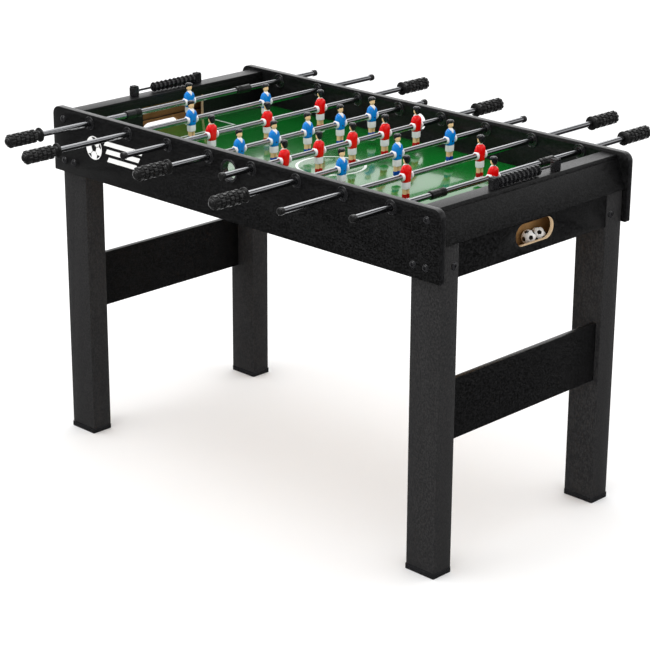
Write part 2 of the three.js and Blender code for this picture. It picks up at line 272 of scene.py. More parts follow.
FOIL_DARK = screen(1, 1, 1)
FOIL_LIGHT = screen(29, 29, 30)
LEG_DARK = screen(33, 33, 34)
LEG_LIGHT = screen(53, 52, 52)
foil_along_x = foil("black_foil_grain_x", 0, FOIL_DARK, FOIL_LIGHT)
foil_along_y = foil("black_foil_grain_y", 1, FOIL_DARK, FOIL_LIGHT)
leg_foil = foil("charcoal_foil_grain_z", 2, LEG_DARK, LEG_LIGHT)
edge_band = foil("edge_band", 0, screen(4, 4, 5), screen(30, 30, 32), 0.36, 0.5)
print("foil finishes", [m.name for m in (foil_along_x, foil_along_y, leg_foil, edge_band)])

# %% [markdown]
# ## Raw fibreboard
# Inside the goals and round the ball slot the foil stops, and the brown board shows. Its face is
# pressed smooth with small flecks of fibre, so fine noise in two tones of tan is close to the real
# thing. The cut edge is a little paler and softer.


# %% Raw board finishes
def raw_board(name, dark, light):
    def recipe(nodes):
        flecks = nodes.noise(1400, 4.0)
        clouds = nodes.noise(45)
        shade = (flecks * 0.7 + clouds * 0.6 - 0.15).clamped()
        return {
            "Base Color": nodes.mix(shade, dark, light),
            "Roughness": 0.82 - flecks * 0.1,
            "Specular IOR Level": 0.3,
            "height": flecks,
            "depth": 0.15 * MM,
        }

    return finish(name, recipe)


raw_face = raw_board("raw_board_face", screen(132, 96, 56), screen(204, 162, 106))
raw_edge = raw_board("raw_board_edge", screen(190, 158, 118), screen(238, 216, 182))
print("raw board finishes", raw_face.name, raw_edge.name)

# %% [markdown]
# ## The printed field
# The field is a thin hardboard with a glossy green print and white lines. The lines could be thin
# strips of geometry, but on the real part they are ink with no height, so they are drawn in the
# material. Each line is a distance turned into a mask: zero distance is the middle of the line.

# %% Field print
LINE_WIDTH = 6.5 * MM
LINE_BLUR = 0.5 * MM
CIRCLE_RADIUS = 76 * MM
AREA_X = 415 * MM
AREA_HALF_WIDTH = 96 * MM


def stroke(distance):
    """1 on a line and 0 away from it, from the distance to its middle."""
    return ((LINE_WIDTH / 2 - abs(distance)) / LINE_BLUR).clamped()


def field_recipe(nodes):
    point = nodes.node("ShaderNodeSeparateXYZ", None, {0: nodes.place()})
    across = abs(point["X"])
    along = abs(point["Y"])
    radius = (across * across + along * along).root()
    circle = stroke(radius - CIRCLE_RADIUS)
    in_area = across.greater(AREA_X - LINE_WIDTH / 2)
    sides = stroke(along - AREA_HALF_WIDTH) * in_area
    front = stroke(across - AREA_X) * (AREA_HALF_WIDTH - along).greater(-LINE_WIDTH / 2)
    ink = circle.largest(sides).largest(front)
    turf = nodes.noise(160, 4.0)
    patches = nodes.noise(7, 2.0)
    shade = (turf * 0.5 + patches * 0.5).clamped()
    green = nodes.mix(shade, screen(3, 92, 24), screen(8, 126, 42))
    return {
        "Base Color": nodes.mix(ink, green, screen(246, 250, 247)),
        "Roughness": 0.16 + turf * 0.06,
        "Coat Weight": 0.6,
        "Coat Roughness": 0.06,
        "height": patches + turf * 0.15,
        "depth": 0.2 * MM,
    }


field_print = finish("field_print_gloss", field_recipe)
print("field print", field_print.name)

# %% [markdown]
# ## Steel, plastic and rubber
# The rods are drawn steel tube with bright plating. Drawing leaves faint lines along the tube and
# handling leaves duller patches, so two noises change the roughness and a long, thin one gives the
# bump. Moulded plastic has a fine even texture, and the rubber grips a coarser, duller one.


# %% Rod and moulded finishes
def plated_recipe(nodes):
    drawn = nodes.noise(2600, 2.0, (1, 0.02, 1))
    handled = nodes.noise(22, 3.0, (1, 0.4, 1))
    return {
        "Base Color": nodes.mix(handled, screen(150, 151, 154), screen(190, 191, 194)),
        "Metallic": 1.0,
        "Roughness": 0.08 + handled * 0.12 + drawn * 0.05,
        "height": drawn,
        "depth": 0.02 * MM,
    }


def moulded(name, dark, light, roughness, texture_scale, texture_depth, level=0.5):
    """A moulded finish: a fine even texture with a slow change of tone."""

    def recipe(nodes):
        texture = nodes.noise(texture_scale, 2.0)
        tone = nodes.noise(60, 2.0)
        return {
            "Base Color": nodes.mix((tone * 0.7 + texture * 0.3).clamped(), dark, light),
            "Roughness": roughness + (texture - 0.5) * 0.2,
            "Specular IOR Level": level,
            "height": texture,
            "depth": texture_depth,
        }

    return finish(name, recipe)


plated_steel = finish("plated_steel", plated_recipe)
black_plastic = moulded("black_plastic", screen(14, 14, 15), screen(40, 40, 42), 0.24, 2500, 0.04 * MM, 0.8)
black_rubber = moulded("black_rubber", screen(8, 8, 8), screen(36, 36, 36), 0.28, 1800, 0.12 * MM)
black_screw = moulded("blackened_screw", screen(20, 20, 21), screen(44, 44, 46), 0.18, 3000, 0.03 * MM, 0.8)
white_vinyl = moulded("white_vinyl", screen(216, 216, 214), screen(250, 250, 248), 0.4, 900, 0.02 * MM)
print("moulded finishes", black_plastic.name, black_rubber.name, black_screw.name, white_vinyl.name)

# %% [markdown]
# ## Painted men and balls
# The men are glossy painted plastic: a shirt in the team's colour, white kit, skin and black hair.
# One function makes all of these paints. The tone drifts slightly, as sprayed paint does, and a
# very shallow ripple breaks up the highlights.


# %% Paints
def paint(name, dark, light):
    return moulded(name, dark, light, 0.2, 500, 0.12 * MM, 0.6)


TEAM_PAINTS = {
    "blue": [
        paint("blue_shirt", screen(0, 118, 206), screen(2, 142, 232)),
        paint("blue_sock", screen(8, 60, 150), screen(14, 82, 184)),
    ],
    "red": [
        paint("red_shirt", screen(224, 0, 2), screen(244, 10, 12)),
        paint("red_sock", screen(176, 4, 8), screen(206, 14, 16)),
    ],
}
white_kit = paint("white_kit", screen(236, 235, 238), screen(253, 252, 253))
skin = paint("painted_skin", screen(242, 198, 142), screen(254, 222, 172))
hair = paint("painted_hair", screen(10, 10, 12), screen(34, 34, 38))
ball_white = paint("ball_white", screen(226, 226, 224), screen(248, 248, 246))
ball_black = paint("ball_black", screen(8, 8, 8), screen(24, 24, 24))
print("paints", [m.name for pair in TEAM_PAINTS.values() for m in pair])

# %% [markdown]
# ## Shapes from outlines
# Boards, rings and marks are flat shapes with a thickness. A cube with a boolean cut leaves messy
# faces, so a filled 2D curve is used: it takes an outline and any holes, gives the thickness and a
# small rounded edge, and turns into a clean closed mesh. `rounded` makes such an outline from its
# corners, each with its own radius.

# %% Outlines
ARC_STEPS = 8
SMALL_ARC_STEPS = 3
SMALL_RADIUS = 3 * MM


def arc(centre, radius, start, end, steps):
    """Points on an arc, with both its ends."""
    points = []
    for step in range(steps + 1):
        angle = start + (end - start) * step / steps
        points.append((centre[0] + radius * math.cos(angle), centre[1] + radius * math.sin(angle)))
    return points


def circle(centre, radius, steps=48, start=0.0):
    """Points round a circle; a few steps make a regular polygon."""
    return arc(centre, radius, start, start + 2 * math.pi, steps)[:-1]


def rounded(corners):
    """An outline from (x, y, radius) corners, each corner rounded by its radius."""
    points = []
    for index, (x, y, radius) in enumerate(corners):
        here = Vector((x, y))
        before = (Vector(corners[index - 1][:2]) - here).normalized()
        after = (Vector(corners[(index + 1) % len(corners)][:2]) - here).normalized()
        if radius == 0:
            points.append((x, y))
            continue
        half = before.angle(after) / 2
        centre = here + (before + after).normalized() * (radius / math.sin(half))
        first = here + before * (radius / math.tan(half)) - centre
        last = here + after * (radius / math.tan(half)) - centre
        start = math.atan2(first.y, first.x)
        turn = (math.atan2(last.y, last.x) - start + math.pi) % (2 * math.pi) - math.pi
        steps = ARC_STEPS if radius > SMALL_RADIUS else SMALL_ARC_STEPS
        points += arc(centre, radius, start, start + turn, steps)
    return points


def rectangle(low, high, radius):
    """A rectangle with four equally rounded corners."""
    corners = [(low[0], low[1]), (high[0], low[1]), (high[0], high[1]), (low[0], high[1])]
    return rounded([(x, y, radius) for x, y in corners])


# %% Plates from outlines
def add_object(name, data):
    made = bpy.data.objects.new(name, data)
    bpy.context.scene.collection.objects.link(made)
    return made


def as_mesh(bm, name="part"):
    mesh = bpy.data.meshes.new(name)
    bm.to_mesh(mesh)
    bm.free()
    return mesh


def joined(meshes):
    """One bmesh that holds all these meshes, which are then removed."""
    bm = bmesh.new()
    for mesh in meshes:
        bm.from_mesh(mesh)
        bpy.data.meshes.remove(mesh)
    return bm


WELD = 1e-6


def plate(outlines, thickness, bevel=0.0):
    """A bmesh plate lying in X and Y, centred on Z = 0. Outlines after the first are holes or islands."""
    curve = bpy.data.curves.new("outline", "CURVE")
    curve.dimensions = "2D"
    curve.fill_mode = "BOTH"
    curve.extrude = thickness / 2 - bevel
    curve.bevel_depth = bevel
    curve.bevel_resolution = 1
    curve.offset = -bevel
    for outline in outlines:
        spline = curve.splines.new("POLY")
        spline.points.add(len(outline) - 1)
        for point, (x, y) in zip(spline.points, outline):
            point.co = (x, y, 0, 1)
        spline.use_cyclic_u = True
    drawn = add_object("outline", curve)
    graph = bpy.context.evaluated_depsgraph_get()
    mesh = bpy.data.meshes.new_from_object(drawn.evaluated_get(graph))
    bpy.data.objects.remove(drawn)
    bm = joined([mesh])
    bmesh.ops.remove_doubles(bm, verts=bm.verts, dist=WELD)
    for face in bm.faces:
        face.material_index = 0
    return bm


def stood(bm, y):
    """Turns a plate drawn in X and Z upright, with its thickness centred on this Y."""
    bm.transform(Matrix.Translation((0, y, 0)) @ Matrix.Rotation(math.pi / 2, 4, "X"))
    return bm


def stood_across(bm, x):
    """Turns a plate drawn in Y and Z upright, with its thickness centred on this X."""
    bm.transform(Matrix(((0, 0, 1, x), (1, 0, 0, 0), (0, 1, 0, 0), (0, 0, 0, 1))))
    return bm


def lifted(bm, z):
    """Moves a flat plate, with its thickness centred on this Z."""
    bm.transform(Matrix.Translation((0, 0, z)))
    return bm


SQUARE_ON = 0.9
HALF_ON = 0.5


def choose(bm, rule):
    """Sets each face's material from rule(normal, middle of the face)."""
    bm.normal_update()
    for face in bm.faces:
        face.material_index = rule(face.normal, face.calc_center_median())


# %% [markdown]
# ## Shapes from sections
# Rods, bearings, grips and caps are turned parts: one profile spun about the rod's own direction.
# The men are lofted, which means that a stack of rounded sections is joined into one skin. Both
# need the same step, skinning one ring of points to the next, so they share it.


# %% Turning and lofting
def skin_rings(bm, rings, closed):
    """Joins each ring of vertices to the next one; a ring of one vertex is a pole."""
    pairs = list(zip(rings, rings[1:]))
    if closed:
        pairs.append((rings[-1], rings[0]))
    faces = []
    for low, high in pairs:
        count = max(len(low), len(high))
        for k in range(count):
            corners = [low[k % len(low)], low[(k + 1) % len(low)]]
            corners += [high[(k + 1) % len(high)], high[k % len(high)]]
            unique = list(dict.fromkeys(corners))
            faces.append(bm.faces.new(unique))
    return faces


def in_mm(profile):
    """A profile of (radius, distance) pairs that are given in millimetres."""
    return [(radius * MM, along * MM) for radius, along in profile]


def turn(bm, profile, place=(0, 0, 0), segments=32, closed=False, material=0):
    """Adds a shape turned about Y from (radius, distance along Y) pairs, and returns its vertices."""
    centre = Vector(place)
    rings = []
    for radius, along in profile:
        middle_point = centre + Vector((0, along, 0))
        if radius == 0:
            rings.append([bm.verts.new(middle_point)])
            continue
        ring = []
        for x, z in circle((0, 0), radius, segments):
            ring.append(bm.verts.new(middle_point + Vector((x, 0, z))))
        rings.append(ring)
    for face in skin_rings(bm, rings, closed):
        face.material_index = material
    return [vertex for ring in rings for vertex in ring]


def stacked(outlines):
    """A closed bmesh skinned over (outline, height in millimetres) pairs about Z."""
    bm = bmesh.new()
    rings = [[bm.verts.new((x, y, height * MM)) for x, y in outline] for outline, height in outlines]
    skin_rings(bm, rings, False)
    bm.faces.new(rings[0])
    bm.faces.new(rings[-1])
    return bm


def loft(bm, sections, material, sides=20, y=0.0):
    """Adds a closed skin over sections of (height, middle x, half depth, half width, squareness)."""
    rings = []
    for height, middle_x, half_depth, half_width, squareness in sections:
        ring = []
        for cosine, sine in circle((0, 0), 1.0, sides):
            x = math.copysign(abs(cosine) ** (2 / squareness), cosine)
            across = math.copysign(abs(sine) ** (2 / squareness), sine)
            point = (middle_x + half_depth * x, y + half_width * across, height)
            ring.append(bm.verts.new(Vector(point) * MM))
        rings.append(ring)
    faces = skin_rings(bm, rings, False)
    faces.append(bm.faces.new(rings[0]))
    faces.append(bm.faces.new(rings[-1]))
    for face in faces:
        face.material_index = material


# %% Turning a bmesh into a finished piece
SHARP_ANGLE = math.radians(38)


def piece(name, bm, materials):
    """A new object from a bmesh, with faces outwards, smooth shading and crisp edges."""
    bmesh.ops.recalc_face_normals(bm, faces=bm.faces)
    mesh = as_mesh(bm, name)
    for material in materials:
        mesh.materials.append(material)
    mesh.shade_smooth()
    mesh.set_sharp_from_angle(angle=SHARP_ANGLE)
    return add_object(name, mesh)


def copy_at(model, name, place):
    """A copy of a finished piece, with its place in its mesh."""
    mesh = model.data.copy()
    mesh.transform(place)
    return add_object(name, mesh)


def settle(made, body, slot, *nodes):
    """The piece rides on its body and stands for these CAD nodes; its slot is not used."""
    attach(made, body)
    if nodes:
        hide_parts(*nodes)
    return made


# %% [markdown]
# ## Geometry Nodes for what repeats
# Bearings, bolts, scorer discs and the blocks on the grips all repeat. A Python loop could copy
# them, but a Geometry Nodes tree states the rule once: points, one part on each, made real, given
# a material. The result is read back as a plain mesh, because an exported model can't hold
# instances, and the modifier is then removed.


# %% Making and applying a geometry tree
def geometry_tree(name, given):
    """A geometry tree with a part, a material and these inputs; returns its nodes and the group input."""
    tree = bpy.data.node_groups.new(name, "GeometryNodeTree")
    tree.is_modifier = True
    given = {"Geometry": "Geometry", "Part": "Object", "Material": "Material", **given}
    for socket_name, kind in given.items():
        tree.interface.new_socket(name=socket_name, in_out="INPUT", socket_type=f"NodeSocket{kind}")
    tree.interface.new_socket(name="Geometry", in_out="OUTPUT", socket_type="NodeSocketGeometry")
    nodes = Nodes(tree)
    return nodes, nodes.node("NodeGroupInput")


def copies_on(nodes, given, points, turned=(0, 0, 0)):
    """One copy of the given part on each point, turned by this rotation."""
    part = nodes.node("GeometryNodeObjectInfo", None, {"Object": given["Part"]}, "Geometry")
    values = {"Points": points, "Instance": part, "Rotation": turned}
    return nodes.node("GeometryNodeInstanceOnPoints", None, values)


def close_tree(nodes, given, geometry):
    """Ends a geometry tree: instances made real, then the material."""
    real = nodes.node("GeometryNodeRealizeInstances", None, {"Geometry": geometry})
    painted = {"Geometry": real, "Material": given["Material"]}
    shown = nodes.node("GeometryNodeSetMaterial", None, painted)
    nodes.node("NodeGroupOutput", None, {"Geometry": shown})
    return nodes.tree


def grow(made, tree, part, material, **values):
    """Runs a tree on an object with this bmesh as the part, and keeps the mesh that it makes."""
    model = piece("part", part, [material])
    values.update({"Part": model, "Material": material})
    modifier = made.modifiers.new(tree.name, "NODES")
    modifier.node_group = tree
    for item in tree.interface.items_tree:
        if item.in_out == "INPUT" and item.name in values:
            modifier[item.identifier] = values[item.name]
    graph = bpy.context.evaluated_depsgraph_get()
    mesh = bpy.data.meshes.new_from_object(made.evaluated_get(graph))
    made.modifiers.clear()
    made.data = mesh
    mesh.name = made.name
    bpy.data.objects.remove(model)
    print(made.name, "has", len(mesh.polygons), "faces")
    return made


# %% The tree for a row of equal parts
row_nodes, row_given = geometry_tree("row_of_parts", {"Count": "Int", "Start": "Vector", "Step": "Vector"})
row_values = {"Count": row_given["Count"], "Start Location": row_given["Start"], "Offset": row_given["Step"]}
row_line = row_nodes.node("GeometryNodeMeshLine", {"mode": "OFFSET"}, row_values)
row_tree = close_tree(row_nodes, row_given, copies_on(row_nodes, row_given, row_line))

# %% The tree for parts that stand on points, each facing its own way
facing_nodes, facing_given = geometry_tree("parts_facing_out", {})
facing_way = facing_nodes.node(
    "GeometryNodeInputNamedAttribute", {"data_type": "FLOAT_VECTOR"}, {"Name": "facing"}, "Attribute"
)
facing_turn = facing_nodes.node("FunctionNodeAlignRotationToVector", {"axis": "Z"}, {"Vector": facing_way})
facing_copies = copies_on(facing_nodes, facing_given, facing_given["Geometry"], facing_turn)
facing_tree = close_tree(facing_nodes, facing_given, facing_copies)
print("geometry trees", row_tree.name, facing_tree.name)

# %% [markdown]
# ## The side panels
# Each side panel is a 15 mm board with rounded upper corners, eight rod holes and a round hole
# where the ball is served. The outline is drawn once. Faces that look along Y are the foil, and
# everything else is the edge band, which is a separate strip on the real board and looks paler.

# %% Panel boards
PANEL_CORNER = 20 * MM
PANEL_FOOT_CORNER = 2 * MM
BOARD_BEVEL = 0.6 * MM
ROD_HOLE = 11 * MM
SERVE_PLACE = (-2 * MM, 751.5 * MM)
SERVE_HOLE = 20 * MM
SERVE_SLEEVE = 1.2 * MM
half_length = PANEL_LENGTH / 2
panel_corners = [
    (-half_length, PANEL_BOTTOM, PANEL_FOOT_CORNER),
    (half_length, PANEL_BOTTOM, PANEL_FOOT_CORNER),
    (half_length, PANEL_TOP, PANEL_CORNER),
    (-half_length, PANEL_TOP, PANEL_CORNER),
]
panel_outlines = [rounded(panel_corners), circle(SERVE_PLACE, SERVE_HOLE + SERVE_SLEEVE)]
panel_outlines += [circle((x, ROD_Z), ROD_HOLE, 24) for x in ROD_X]
PANEL_MIDDLE = (PANEL_OUTER + PANEL_INNER) / 2
SIDES = {"front": -1, "back": 1}
for side_name, side in SIDES.items():
    board = stood(plate(panel_outlines, PANEL_THICKNESS, BOARD_BEVEL), side * PANEL_MIDDLE)
    choose(board, lambda normal, spot: 1 if abs(normal.y) < SQUARE_ON else 0)
    panel = piece(f"{side_name}_panel_board", board, [foil_along_x, edge_band])
    settle(panel, "root", "black_laminate", f"{side_name}_side_panel")
    print(panel.name, "has", len(panel.data.polygons), "faces")

# %% [markdown]
# ## Rod bearings and the serve ring
# A bearing is a black plastic bush through the panel with a round flange on each side. Its profile
# is a closed loop, so the turned part is a solid ring: a raised rim, a shallow dish, and a raised
# collar round the bore. Eight equal parts at one pitch are a job for the row tree.

# %% Bearings
BUSH = 10.6 * MM
BUSH_SINK = 1 * MM
OUTER_FLANGE = 16 * MM
INNER_FLANGE = 17 * MM
RIM_STEPS = [(0.3, 0), (0, 0.3), (0.6, 0.75), (1.6, 1), (2.6, 0.75), (3.3, 0.25)]
COLLAR_STEPS = [(10.8, 0.3), (9.8, 0.8), (8.8, 1), (7.6, 1), (7.2, 0.8)]


def flange_profile(radius, side):
    """Half of a bearing's closed profile, from the board's face out to the bore."""
    face = side * PANEL_THICKNESS / 2
    steps = [(radius - inset * MM, share) for inset, share in RIM_STEPS]
    steps += [(reach * MM, share) for reach, share in COLLAR_STEPS]
    profile = [(BUSH, face - side * BUSH_SINK), (BUSH, face)]
    return profile + [(reach, face + side * share * FLANGE) for reach, share in steps]


for side_name, side in SIDES.items():
    bearing = bmesh.new()
    profile = flange_profile(OUTER_FLANGE, side) + flange_profile(INNER_FLANGE, -side)[::-1]
    turn(bearing, profile, segments=40, closed=True)
    row = piece(f"{side_name}_rod_bearings", bmesh.new(), [])
    start = (ROD_X[0], side * PANEL_MIDDLE, ROD_Z)
    pitch = (ROD_X[1] - ROD_X[0], 0, 0)
    grow(row, row_tree, bearing, black_plastic, Count=len(ROD_X), Start=start, Step=pitch)
    settle(row, "root", "black_plastic")

# %% Serve-hole rings
SERVE_RING = 26 * MM
SLEEVE_OUTSIDE = SERVE_HOLE + SERVE_SLEEVE - 0.1 * MM
SLEEVE_STEP = 0.05
RING_STEPS = [(0.4, SLEEVE_STEP), (0, 0.4), (0.7, 0.8), (1.9, 1), (3.1, 0.8), (3.8, 0.4), (5, 0.5), (6, 0.3)]
for side_name, side in SIDES.items():
    profile = [(SERVE_HOLE, PANEL_INNER), (SLEEVE_OUTSIDE, PANEL_INNER)]
    profile.append((SLEEVE_OUTSIDE, PANEL_OUTER + SLEEVE_STEP * FLANGE))
    profile += [(SERVE_RING - inset * MM, PANEL_OUTER + share * FLANGE) for inset, share in RING_STEPS]
    ring = bmesh.new()
    turned = [(radius, side * along) for radius, along in profile]
    turn(ring, turned, (SERVE_PLACE[0], 0, SERVE_PLACE[1]), 56, True)
    settle(piece(f"{side_name}_serve_ring", ring, [black_plastic]), "root", "black_plastic")
print("serve rings", list(SIDES))

# %% [markdown]
# ## A plain mark on the front panel
# The panel carries a white transfer. This one is a plain design of its own: a football with three
# bars beside it. It is a plate of 0.3 mm, as a vinyl transfer is, cut from one outline list:
# where two outlines overlap, the second is a hole.

# %% Front panel mark
MARK_THICKNESS = 0.3 * MM
BALL_MARK_PLACE = (-447 * MM, 716 * MM)
BALL_MARK_RADIUS = 27 * MM
PENTAGON_RADIUS = 9.5 * MM
SPOKE_ENDS = (10.2 * MM, 16.6 * MM)
SPOKE_HALF_WIDTH = 0.8 * MM
PATCH_POINT = 17.4 * MM
PATCH_RIM = 25 * MM
PATCH_ANGLES = (-0.3, -0.099, 0.099, 0.3)
BARS = [(-412, 128, 734), (-407, 112, 716), (-402, 96, 698)]
BAR_HALF_HEIGHT = 5.5
BAR_LEAN = 6


def bar(start, end, half_width):
    """A thin straight bar between two points, as an outline."""
    first = Vector(start)
    last = Vector(end)
    across = (last - first).orthogonal().normalized() * half_width
    return [tuple(first - across), tuple(last - across), tuple(last + across), tuple(first + across)]


def around_mark(reach, angle):
    """A point at this distance and angle from the middle of the ball mark."""
    return (BALL_MARK_PLACE[0] + reach * math.cos(angle), BALL_MARK_PLACE[1] + reach * math.sin(angle))


mark_outlines = [circle(BALL_MARK_PLACE, BALL_MARK_RADIUS)]
mark_outlines.append(circle(BALL_MARK_PLACE, PENTAGON_RADIUS, 5, math.pi / 2))
for corner in range(5):
    spoke = math.pi / 2 + corner * 2 * math.pi / 5
    mark_outlines.append(bar(*[around_mark(reach, spoke) for reach in SPOKE_ENDS], SPOKE_HALF_WIDTH))
    rim_patch = [around_mark(PATCH_RIM, spoke + angle) for angle in PATCH_ANGLES]
    mark_outlines.append([around_mark(PATCH_POINT, spoke), *rim_patch])
for left, length, height in BARS:
    low = height - BAR_HALF_HEIGHT
    high = height + BAR_HALF_HEIGHT
    right = left + length
    corners = [(left, low), (right, low), (right + BAR_LEAN, high), (left + BAR_LEAN, high)]
    mark_outlines.append(in_mm(corners))
mark = stood(plate(mark_outlines, MARK_THICKNESS), -PANEL_OUTER - MARK_THICKNESS / 2)
settle(piece("front_panel_mark", mark, [white_vinyl]), "root", "black_laminate")
print("mark outlines", len(mark_outlines))

# %% [markdown]
# ## The playing field
# The field is one thin board: printed on top, raw on its other faces. Low black ramps stand in its
# four corners, so that a ball never stops there. Each ramp is a thin tetrahedron, and a small
# rounding on its edges makes it read as a moulded part.

# %% Field board and corner ramps
field_low, field_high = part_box("playfield")
FIELD_TOP = 704 * MM
FIELD_BOTTOM = field_low.z
FIELD_ROUND = 0.5 * MM
FIELD_BEVEL = 0.3 * MM
field_outline = [rectangle((field_low.x, field_low.y), (field_high.x, field_high.y), FIELD_ROUND)]
field = plate(field_outline, FIELD_TOP - FIELD_BOTTOM, FIELD_BEVEL)
lifted(field, (FIELD_TOP + FIELD_BOTTOM) / 2)
choose(field, lambda normal, spot: 0 if normal.z > HALF_ON else 1)
settle(piece("printed_field", field, [field_print, raw_face]), "root", "field_print", "playfield")

RAMP_DEPTH = 46 * MM
RAMP_START_Y = 114 * MM
RAMP_HEIGHT = 11 * MM
RAMP_GAP = 0.2 * MM
RAMP_SINK = 1 * MM
RAMP_ROUND = 0.3 * MM
ramps = bmesh.new()
for x_side in (-1, 1):
    for y_side in (-1, 1):
        wall = x_side * (field_high.x - RAMP_GAP)
        corner_y = y_side * (field_high.y - RAMP_GAP)
        points = [
            (wall, y_side * RAMP_START_Y, FIELD_TOP - RAMP_SINK),
            (wall, corner_y, FIELD_TOP - RAMP_SINK),
            (wall - x_side * RAMP_DEPTH, corner_y, FIELD_TOP - RAMP_SINK),
            (wall, corner_y, FIELD_TOP + RAMP_HEIGHT),
        ]
        corners = [ramps.verts.new(point) for point in points]
        for left_out in range(4):
            ramps.faces.new([corner for k, corner in enumerate(corners) if k != left_out])
bmesh.ops.recalc_face_normals(ramps, faces=ramps.faces)
bmesh.ops.bevel(ramps, geom=list(ramps.edges), offset=RAMP_ROUND, segments=1, affect="EDGES")
settle(piece("corner_ramps", ramps, [black_plastic]), "root", "black_plastic")
print("field", [round(v, 4) for v in field_high - field_low])

# %% [markdown]
# ## The end boxes
# Each end is five boards: a wall with the goal opening, a narrow strip on top, a sloping board
# outside, a lower board with the slot where the balls come out, and a thin tray. Every one is a
# plate, either cut in the YZ plane or drawn as a section in XZ and drawn out along Y. The outside
# is foil and the inside is raw board, and the finish is chosen from where each face looks.

# %% End box boards
END_TOP = 783 * MM
END_TOP_EDGE_X = 558 * MM
KNEE_X = 584 * MM
KNEE_HEIGHT = 711.3 * MM
WALL_X = 521 * MM
WALL_THICKNESS = 9 * MM
BOARD_X = 577 * MM
BOARD_THICKNESS = 9 * MM
STRIP_BOTTOM = END_TOP - BOARD_THICKNESS
STRIP_MITRE = 3.2 * MM
END_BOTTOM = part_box("right_end_box")[0].z
TRAY_THICKNESS = 3 * MM
TRAY_BEVEL = 0.3 * MM
BETWEEN_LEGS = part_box("right_stretcher")[1].y
SLOT_LENGTH = 120 * MM
SLOT_HEIGHT = 47 * MM
SLOT_MIDDLE = 680.5 * MM
SLOT_MARGIN = 1 * MM
SLOT_FLAT = 0.1 * MM
GOAL_HALF = 95 * MM
GOAL_TOP = 759 * MM
WALL_BOTTOM = 693.3 * MM
SMALL_ROUND = 0.5 * MM
ENDS = {"right": 1, "left": -1}
HALF_TURN = Matrix.Rotation(math.pi, 4, "Z")


def goal_wall():
    outlines = [
        rectangle((-INSIDE, WALL_BOTTOM), (INSIDE, STRIP_BOTTOM), SMALL_ROUND),
        rectangle((-GOAL_HALF, FIELD_TOP), (GOAL_HALF, GOAL_TOP), SMALL_ROUND),
    ]
    bm = stood_across(plate(outlines, WALL_THICKNESS, SMALL_ROUND), WALL_X + WALL_THICKNESS / 2)

    def rule(normal, spot):
        in_goal = abs(spot.y) < GOAL_HALF + SMALL_ROUND and spot.z < GOAL_TOP + SMALL_ROUND
        if normal.x > SQUARE_ON:
            return 1
        return 2 if in_goal and normal.x > -SQUARE_ON else 0

    choose(bm, rule)
    return bm


def section_along_y(corners, half):
    """A board drawn as a section in X and Z, drawn out along Y from -half to half."""
    outline = rounded([(x, z, SMALL_ROUND) for x, z in corners])
    return stood(plate([outline], 2 * half, SMALL_ROUND), 0)


def top_strip():
    corners = [
        (WALL_X, STRIP_BOTTOM),
        (END_TOP_EDGE_X + STRIP_MITRE, STRIP_BOTTOM),
        (END_TOP_EDGE_X, END_TOP),
        (WALL_X, END_TOP),
    ]
    return section_along_y(corners, INSIDE)


def sloped_board():
    slope = (KNEE_X - END_TOP_EDGE_X) / (END_TOP - KNEE_HEIGHT)
    start_x = END_TOP_EDGE_X + slope * BOARD_THICKNESS
    corners = [
        (start_x - BOARD_THICKNESS, STRIP_BOTTOM),
        (KNEE_X - BOARD_THICKNESS, KNEE_HEIGHT),
        (KNEE_X, KNEE_HEIGHT),
        (start_x, STRIP_BOTTOM),
    ]
    bm = section_along_y(corners, INSIDE)
    choose(bm, lambda normal, spot: 1 if normal.x < -HALF_ON else 0)
    return bm


def slotted_board():
    half = SLOT_LENGTH / 2
    slot_low = (-half, SLOT_MIDDLE - SLOT_HEIGHT / 2)
    slot_high = (half, SLOT_MIDDLE + SLOT_HEIGHT / 2)
    outlines = [
        rectangle((-BETWEEN_LEGS, END_BOTTOM), (BETWEEN_LEGS, KNEE_HEIGHT), SMALL_ROUND),
        rectangle(slot_low, slot_high, SLOT_HEIGHT / 2 - SLOT_FLAT),
    ]
    bm = stood_across(plate(outlines, BOARD_THICKNESS, SMALL_ROUND), BOARD_X - BOARD_THICKNESS / 2)

    def rule(normal, spot):
        beside = abs(spot.y) < half + SLOT_MARGIN
        level = abs(spot.z - SLOT_MIDDLE) < SLOT_HEIGHT / 2 + SLOT_MARGIN
        if beside and level and abs(normal.x) < SQUARE_ON:
            return 2
        return 1 if normal.x < -HALF_ON else 0

    choose(bm, rule)
    return bm


def ball_tray():
    floor_corners = ((WALL_X, -BETWEEN_LEGS), (BOARD_X - BOARD_THICKNESS, BETWEEN_LEGS))
    back_corners = ((-BETWEEN_LEGS, END_BOTTOM + TRAY_THICKNESS), (BETWEEN_LEGS, WALL_BOTTOM))
    tray = plate([rectangle(*floor_corners, SMALL_ROUND)], TRAY_THICKNESS, TRAY_BEVEL)
    back = plate([rectangle(*back_corners, SMALL_ROUND)], WALL_THICKNESS, TRAY_BEVEL)
    lifted(tray, END_BOTTOM + TRAY_THICKNESS / 2)
    stood_across(back, WALL_X + WALL_THICKNESS / 2)
    return joined([as_mesh(tray), as_mesh(back)])


END_BOARDS = {
    "goal_wall": (goal_wall, [foil_along_y, raw_face, raw_edge]),
    "top_strip": (top_strip, [foil_along_y]),
    "sloped_board": (sloped_board, [foil_along_y, raw_face]),
    "slotted_board": (slotted_board, [foil_along_y, raw_face, raw_edge]),
    "ball_tray": (ball_tray, [raw_face]),
}
for end_name, end in ENDS.items():
    for board_name, (make, materials) in END_BOARDS.items():
        bm = make()
        if end < 0:
            bm.transform(HALF_TURN)
        made = piece(f"{end_name}_{board_name}", bm, materials)
        nodes = [f"{end_name}_end_box"] if board_name == "goal_wall" else []
        settle(made, "root", "black_laminate", *nodes)
    print(end_name, "end boards", list(END_BOARDS))

